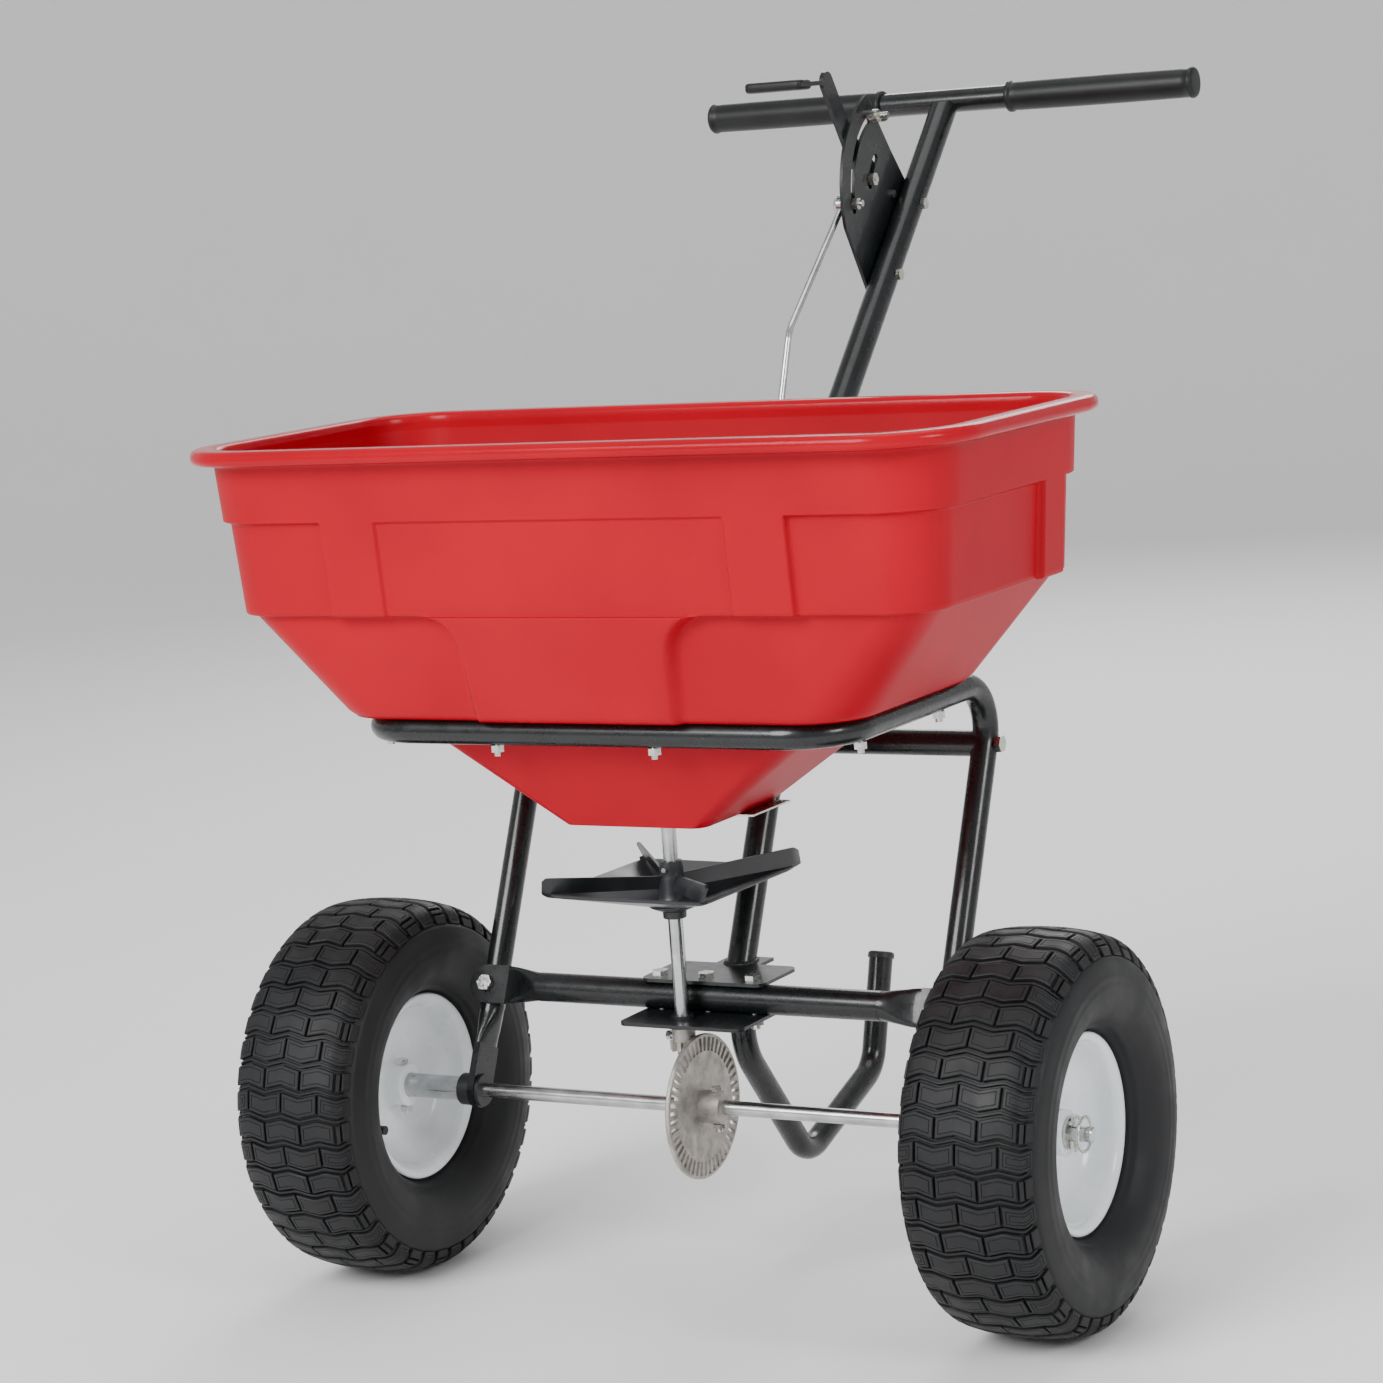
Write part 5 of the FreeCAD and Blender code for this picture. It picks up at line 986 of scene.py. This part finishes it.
class SPREADER_OT_rims(bpy.types.Operator):
    """Press both rims with their rolled lips, deep dishes and drilled hub tubes"""
    bl_idname = "spreader.rims"
    bl_label = "Rims"

    def execute(self, context):
        paint = material_of("rim_white")
        valve_y = (VALVE_LOW.y + VALVE_HIGH.y) / 2
        valve_z = (VALVE_LOW.z + VALVE_HIGH.z) / 2
        valve_r = (VALVE_HIGH.y - VALVE_LOW.y) / 2
        for side, body, way in (("left", "axle_set", -1), ("right", "right_wheel", 1)):
            middle = way * WHEEL_X
            dish = bpy.data.meshes.new("dish")
            dish.from_pydata(*with_edges(lathe(rim_profile(), 128, (middle, 0.0, 0.0))))
            tidy_mesh(dish, 40.0)
            bore = lathe([(middle + 2, valve_r), (middle + 60, valve_r)], 24,
                         (0.0, valve_y, valve_z), joined=False)
            dish = cut_with(dish, [bore])
            hub = bpy.data.meshes.new("hub")
            hub.from_pydata(*with_edges(lathe(hub_profile(), 72, (middle, 0.0, 0.0))))
            tidy_mesh(hub, 40.0)
            hole = lathe([(-HUB_R - 6, 3.1), (HUB_R + 6, 3.1)], 24,
                         (middle + HUB_HOLE_X, 0.0, 0.0), along="Z", joined=False)
            hub = cut_with(hub, [hole])
            parts = [plain(dish), plain(hub)]
            mesh = fresh_mesh(side + "_rim_pressing", parts, 34.0)
            show(side + "_rim_pressing", mesh, paint, body, [side + "_rim"])
        return {"FINISHED"}


def with_edges(part):
    verts, faces = part
    return verts, [], faces


def plain(mesh):
    """A mesh's vertices and faces as plain lists."""
    verts = [tuple(v.co) for v in mesh.vertices]
    return verts, [tuple(face.vertices) for face in mesh.polygons]


# ---------------------------------------------------------------- impeller
IMPELLER_Z = IMPELLER_LOW.z + 11.0              # underside of its dish
FIN_REACH, FIN_PHASE, FIN_COUNT = 112.0, 43.0, 4
DISH_FLAT, DISH_R, DISH_RISE, DISH_T = 20.0, 108.0, 18.5, 3.0


def dish_ring(reach, z):
    """Square of the dish at a height, its corners rounded and under the fins."""
    ring = []
    side = 2 * math.pi / FIN_COUNT
    for k in range(FIN_COUNT * 16):
        angle = side * k / 16
        off = (angle + side / 2) % side - side / 2
        radius = reach * math.cos(side / 2) / math.cos(side / 2 - abs(off))
        radius = min(radius, reach - 2.0)
        angle += math.radians(FIN_PHASE)
        ring.append((SHAFT_X + radius * math.cos(angle), radius * math.sin(angle),
                     IMPELLER_Z + z))
    return ring


def fin_part(turn_deg):
    """One fin: an upper band that leans back over a creased lower wall, round at the tip."""
    thick, band = 2.4, 11.6
    rings = []
    for along in spread(7.0, FIN_REACH, 3.5):
        share = (along - 7.0) / (FIN_REACH - 7.0)
        low = 1.0 + DISH_RISE * max(0.0, (along - DISH_FLAT) / (DISH_R - DISH_FLAT))
        high = 26.0 + 10.5 * share
        crease = max(high - band - 3.0 * share, low + 0.6)
        tip = max(0.0, (along - FIN_REACH + 5.0) / 5.0) ** 2
        low, high = low + 1.8 * tip, high - 3.0 * tip
        crease = max(crease, low + 0.6)
        outline = [(0.8, low), (-2.4, crease), (2.2, high)]
        loop = outline + [(t + thick, z) for t, z in reversed(outline)]
        rings.append([(along, t, z) for t, z in loop])
    verts, faces = tube_of(rings, capped=True)
    cos, sin = (f(math.radians(turn_deg)) for f in (math.cos, math.sin))
    return [(SHAFT_X + x * cos - y * sin, x * sin + y * cos, IMPELLER_Z + z)
            for x, y, z in verts], faces


class SPREADER_OT_impeller(bpy.types.Operator):
    """Mould the impeller: a four-sided dish, a tapered hub and four creased fins"""
    bl_idname = "spreader.impeller"
    bl_label = "Impeller"

    def execute(self, context):
        top = DISH_RISE + DISH_T
        rings = [dish_ring(reach, z) for reach, z in (
            (13.0, 0.3), (DISH_FLAT, 0.0), (DISH_R - 1.2, DISH_RISE - 0.2),
            (DISH_R, DISH_RISE + 0.8), (DISH_R, top - 0.8), (DISH_R - 0.9, top),
            (DISH_R - 3.0, top - 0.2), (DISH_FLAT, DISH_T), (13.0, DISH_T - 0.3))]
        plate = tube_of(rings, joined=True)
        shaft_r = 6.35
        hub = through([(-11.0, 9.2), (-10.2, 10.0), (-5.6, 10.2), (-4.6, 11.4), (-0.4, 21.0),
                       (3.6, 20.4), (4.8, 15.0), (8.0, 12.6), (20.0, 11.6), (24.0, 11.2),
                       (25.2, 10.4), (36.6, 10.0), (38.0, 9.2)], 3)
        collar = [(IMPELLER_Z + z, r) for z, r in hub]
        collar += [(IMPELLER_Z + 38.0, shaft_r), (IMPELLER_Z - 11.0, shaft_r)]
        parts = [plate, lathe(collar, 56, (SHAFT_X, 0.0, 0.0), along="Z")]
        parts += [fin_part(FIN_PHASE + 360 * k / FIN_COUNT) for k in range(FIN_COUNT)]
        mesh = fresh_mesh("impeller_moulding", parts, 32.0)
        show("impeller_moulding", mesh, material_of("black_plastic"), "spinner",
             ["impeller"])
        return {"FINISHED"}


# ---------------------------------------------------------------- grips and lever pad
def grip_part(low, high):
    """Slip-on grip: a ring at its inner end, a faintly swelled body and a domed closed end."""
    way = 1 if high.x > 0 else -1
    inner, outer = (low.x, high.x) if way > 0 else (high.x, low.x)
    y, z = (low.y + high.y) / 2, (low.z + high.z) / 2
    r = (high.z - low.z) / 2
    length = abs(outer - inner)
    shape = [(0.0, HANDLEBAR_R), (0.0, r - 1.2), (0.9, r - 0.1), (2.4, r), (4.2, r - 0.1),
             (5.2, r - 1.0), (6.4, r - 1.5)]
    for share in spread(0.06, 0.94, 0.05):
        shape.append((share * length, r - 1.3 + 0.5 * math.sin(math.pi * share)))
    shape += [(length - 6.0, r - 1.2), (length - 4.6, r - 0.3), (length - 2.6, r - 0.3),
              (length - 1.0, r - 1.4), (length - 0.2, r - 3.6), (length, r - 6.0),
              (length, 0.02)]
    shape += [(length - 4.8, 0.02), (length - 4.8, HANDLEBAR_R)]
    profile = [(inner + way * at, radius) for at, radius in shape]
    return lathe(profile, 72, (0.0, y, z))


def pad_part(low, high):
    """Dipped sleeve with soft corners and a sloping outer end."""
    y, z = (low.y + high.y) / 2, (low.z + high.z) / 2
    half_y, half_z = (high.y - low.y) / 2, (high.z - low.z) / 2
    rings = []
    ends = [(0.0, 0.55), (0.6, 0.8), (1.8, 0.94), (3.6, 1.0)]
    length = high.x - low.x
    stations = ends + [(at, 1.0) for at in spread(8.0, length - 8.0, 8.0)]
    stations += [(length - at, size) for at, size in reversed(ends)]
    for at, size in stations:
        ring = []
        for k in range(40):
            angle = 2 * math.pi * k / 40
            c, s = math.cos(angle), math.sin(angle)
            across = math.copysign(abs(c) ** 0.45, c) * half_y * size
            up = math.copysign(abs(s) ** 0.55, s) * half_z * size
            slope = 4.0 * (across / half_y) * (1 - smooth(at / 12.0))
            ring.append((low.x + at + max(slope, 0.0), y + across, z + up))
        rings.append(ring)
    return tube_of(rings, capped=True)


class SPREADER_OT_grips(bpy.types.Operator):
    """Slip the vinyl grips on the handlebar and dip the lever's pad"""
    bl_idname = "spreader.grips"
    bl_label = "Grips and pad"

    def execute(self, context):
        vinyl = material_of("grip_vinyl")
        for node in ("grip_left", "grip_right"):
            mesh = fresh_mesh(node + "_vinyl", [grip_part(*edges_of(node))], 50.0)
            show(node + "_vinyl", mesh, vinyl, "chassis", [node])
        mesh = fresh_mesh("lever_pad_vinyl", [pad_part(*edges_of("lever_pad"))], 50.0)
        show("lever_pad_vinyl", mesh, vinyl, "lever", ["lever_pad"])
        return {"FINISHED"}


# ---------------------------------------------------------------- welds
class SPREADER_OT_welds(bpy.types.Operator):
    """Lay weld beads where the mast and the stand meet their plates"""
    bl_idname = "spreader.welds"
    bl_label = "Weld beads"

    def execute(self, context):
        sizes = context.scene.spreader_welds
        stand_low, stand_high = edges_of("stand_tube")
        mast_long = MAST_R * math.hypot(1, MAST_SLOPE)
        mast_y = edges_of("mast_tube")[0].y + mast_long
        stand_r = stand_high.x
        loops = [
            ("mast_weld", mast_y, PLATE_TOP, MAST_R, mast_long),
            ("stand_weld", stand_low.y + stand_r, PLATE_UNDER, stand_r, stand_r),
        ]
        tree = weld_tree()
        for name, y, z, half_x, half_y in loops:
            count = 64
            verts = [(half_x * math.cos(2 * math.pi * k / count),
                      y + half_y * math.sin(2 * math.pi * k / count), z)
                     for k in range(count)]
            mesh = bpy.data.meshes.new(name)
            mesh.from_pydata(verts, [(k, (k + 1) % count) for k in range(count)], [])
            mesh.transform(Matrix.Translation(AXLE) @ Matrix.Scale(MM, 4))
            black = material_of("frame_black")
            bead = grown(name, mesh, tree, {
                "Ripples": 34, "Ripple radius": sizes.ripple, "Uneven": sizes.uneven,
                "Material": black})
            show(name, bead, black, "chassis")
        return {"FINISHED"}


# ---------------------------------------------------------------- carried-over nodes
FINISHES = {
    "frame_black": ("cradle_frame", "rear_cross_tube", "lower_crossbar", "mast_tube",
                    "mast_bracket", "handlebar_tube", "stand_tube"),
    "plate_steel": ("upper_clamp_plate", "lower_clamp_plate", "rate_plate", "lever_arm"),
    "zinc": ("hopper_bolts", "hopper_nuts", "outlet_screws", "outlet_plate", "gate_guides",
             "shutoff_gate", "rear_cross_bolts", "crossbar_bolts", "clamp_bolts",
             "clamp_nuts", "mast_bracket_bolts", "gear_drive_bolt", "wheel_drive_bolt",
             "axle_washers", "linch_pin", "shaft_pins", "pinion_set_screw",
             "rate_plate_bolts", "pivot_bolt", "lever_guide_bolt", "rod_pivot_bolt",
             "rate_stop_bolt", "rate_stop_wing_nut"),
    "bright_steel": ("axle", "spacer_sleeve", "right_spacer"),
    "shaft_steel": ("spinner_shaft", "control_rod"),
    "bearing_black": ("axle_bushing_left", "axle_bushing_right", "shaft_bearing_lower",
                      "shaft_bearing_upper", "stand_end_cap"),
    "cast_gear": ("drive_gear", "pinion"),
    "white_plastic": ("left_hub_bushes", "right_hub_bushes"),
    "valve_rubber": ("left_valve", "right_valve"),
    "sticker_yellow": ("left_rim_sticker",),
}


class SPREADER_OT_finishes(bpy.types.Operator):
    """Paint, plate or polish every frame node that keeps its own shape"""
    bl_idname = "spreader.finishes"
    bl_label = "Frame finishes"

    def execute(self, context):
        for finish_name, names in FINISHES.items():
            for name in names:
                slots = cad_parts[name].data.materials
                slots.clear()
                slots.append(material_of(finish_name))
        return {"FINISHED"}


# ---------------------------------------------------------------- stage
CAMERA_TURN, CAMERA_TILT, CAMERA_ROLL = 29.99, 8.48, -4.27
CAMERA_AT = Vector((1547.0, -2642.0, 811.0))
CAMERA_LENS, SENSOR = 96.68, 36.0
# The floor, in metres: a flat disc, a quarter-round sweep and a wall.
FLOOR_R, SWEEP_R, WALL_Z = 5.2, 3.0, 4.2
LAMP_GOAL = Vector((0.0, 0.0, 0.45))
LAMPS = (                                        # name, place, width in metres, watts
    ("key", (-0.9, -3.6, 2.6), 2.2, 165.0),
    ("side", (3.4, -1.2, 2.0), 1.2, 42.0),
    ("top", (0.2, 0.4, 4.2), 3.0, 46.0),
    ("back", (-1.0, 3.6, 2.6), 2.2, 60.0),
)
WORLD_STRENGTH = 0.5


def camera_axes():
    """Right, up and back of a camera turned, tilted and rolled about its view."""
    turn, tilt, roll = (math.radians(v) for v in (CAMERA_TURN, CAMERA_TILT, CAMERA_ROLL))
    right = Vector((math.cos(turn), math.sin(turn), 0.0))
    back = Vector((math.sin(turn) * math.cos(tilt), -math.cos(turn) * math.cos(tilt),
                   math.sin(tilt)))
    up = back.cross(right)
    return (right * math.cos(roll) + up * math.sin(roll),
            up * math.cos(roll) - right * math.sin(roll), back)


def aim(thing, place, goal):
    thing.location = place
    thing.rotation_euler = (goal - place).to_track_quat("-Z", "Y").to_euler()


class SPREADER_OT_stage(bpy.types.Operator):
    """Set the camera, the soft lights and a pale floor that sweeps up all round"""
    bl_idname = "spreader.stage"
    bl_label = "Stage"

    def execute(self, context):
        scene = context.scene
        data = bpy.data.cameras.new("camera")
        data.lens, data.sensor_width = CAMERA_LENS, SENSOR
        data.clip_end = 60.0
        camera = bpy.data.objects.new("camera", data)
        scene.collection.objects.link(camera)
        right, up, back = camera_axes()
        camera.matrix_world = Matrix.Translation(AXLE + CAMERA_AT * MM) @ Matrix(
            (right, up, back)).transposed().to_4x4()
        scene.camera = camera

        sweep = [(0.0, 0.4), (0.0, FLOOR_R)]
        steps = 12
        for k in range(1, steps + 1):
            angle = math.radians(90 * k / steps)
            sweep.append((SWEEP_R - SWEEP_R * math.cos(angle),
                          FLOOR_R + SWEEP_R * math.sin(angle)))
        sweep.append((WALL_Z, FLOOR_R + SWEEP_R))
        segments = 96
        rings = []
        for z, radius in sweep:
            rings.append([(radius * math.cos(2 * math.pi * k / segments),
                           radius * math.sin(2 * math.pi * k / segments), z)
                          for k in range(segments)])
        verts, faces = tube_of(rings)
        faces.append(tuple(range(segments - 1, -1, -1)))
        mesh = bpy.data.meshes.new("floor")
        mesh.from_pydata(verts, [], [face[::-1] for face in faces])
        for face in mesh.polygons:
            face.use_smooth = len(face.vertices) == 4
        mesh.materials.append(floor_paint(tuple(scene.spreader_colours.floor) + (1.0,)))
        floor = bpy.data.objects.new("floor", mesh)
        scene.collection.objects.link(floor)

        for name, place, size, power in LAMPS:
            light = bpy.data.lights.new(name, "AREA")
            light.shape, light.size, light.energy = "DISK", size, power
            lamp = bpy.data.objects.new(name, light)
            scene.collection.objects.link(lamp)
            aim(lamp, Vector(place), LAMP_GOAL)
        world = bpy.data.worlds.new("studio")
        world.use_nodes = True
        glow = world.node_tree.nodes["Background"]
        glow.inputs["Color"].default_value = linear("FFFFFF")
        glow.inputs["Strength"].default_value = WORLD_STRENGTH
        scene.world = world
        return {"FINISHED"}


# ---------------------------------------------------------------- panel and start
OPERATORS = (SPREADER_OT_stage, SPREADER_OT_hopper, SPREADER_OT_tyres, SPREADER_OT_rims,
             SPREADER_OT_impeller, SPREADER_OT_grips, SPREADER_OT_welds,
             SPREADER_OT_finishes)
GROUPS = (("spreader_colours", SpreaderColours), ("spreader_hopper", HopperSizes),
          ("spreader_tyres", TyreSizes), ("spreader_welds", WeldSizes))


class SPREADER_PT_panel(bpy.types.Panel):
    """Sizes, colours and pieces of the spreader"""
    bl_label = "Broadcast spreader"
    bl_idname = "SPREADER_PT_panel"
    bl_space_type = "VIEW_3D"
    bl_region_type = "UI"
    bl_category = "Spreader"

    def draw(self, context):
        layout = self.layout
        for name, group in GROUPS:
            box = layout.box()
            box.label(text=group.__doc__)
            for key in group.__annotations__:
                box.prop(getattr(context.scene, name), key)
        for operator in OPERATORS:
            layout.operator(operator.bl_idname)


def register():
    for name, group in GROUPS:
        bpy.utils.register_class(group)
        setattr(bpy.types.Scene, name, PointerProperty(type=group))
    for item in OPERATORS + (SPREADER_PT_panel,):
        bpy.utils.register_class(item)


def unregister():
    for item in reversed(OPERATORS + (SPREADER_PT_panel,)):
        bpy.utils.unregister_class(item)
    for name, group in reversed(GROUPS):
        delattr(bpy.types.Scene, name)
        bpy.utils.unregister_class(group)


def main():
    register()
    for operator in OPERATORS:
        group, name = operator.bl_idname.split(".")
        getattr(getattr(bpy.ops, group), name)()


if __name__ == "__main__":
    main()
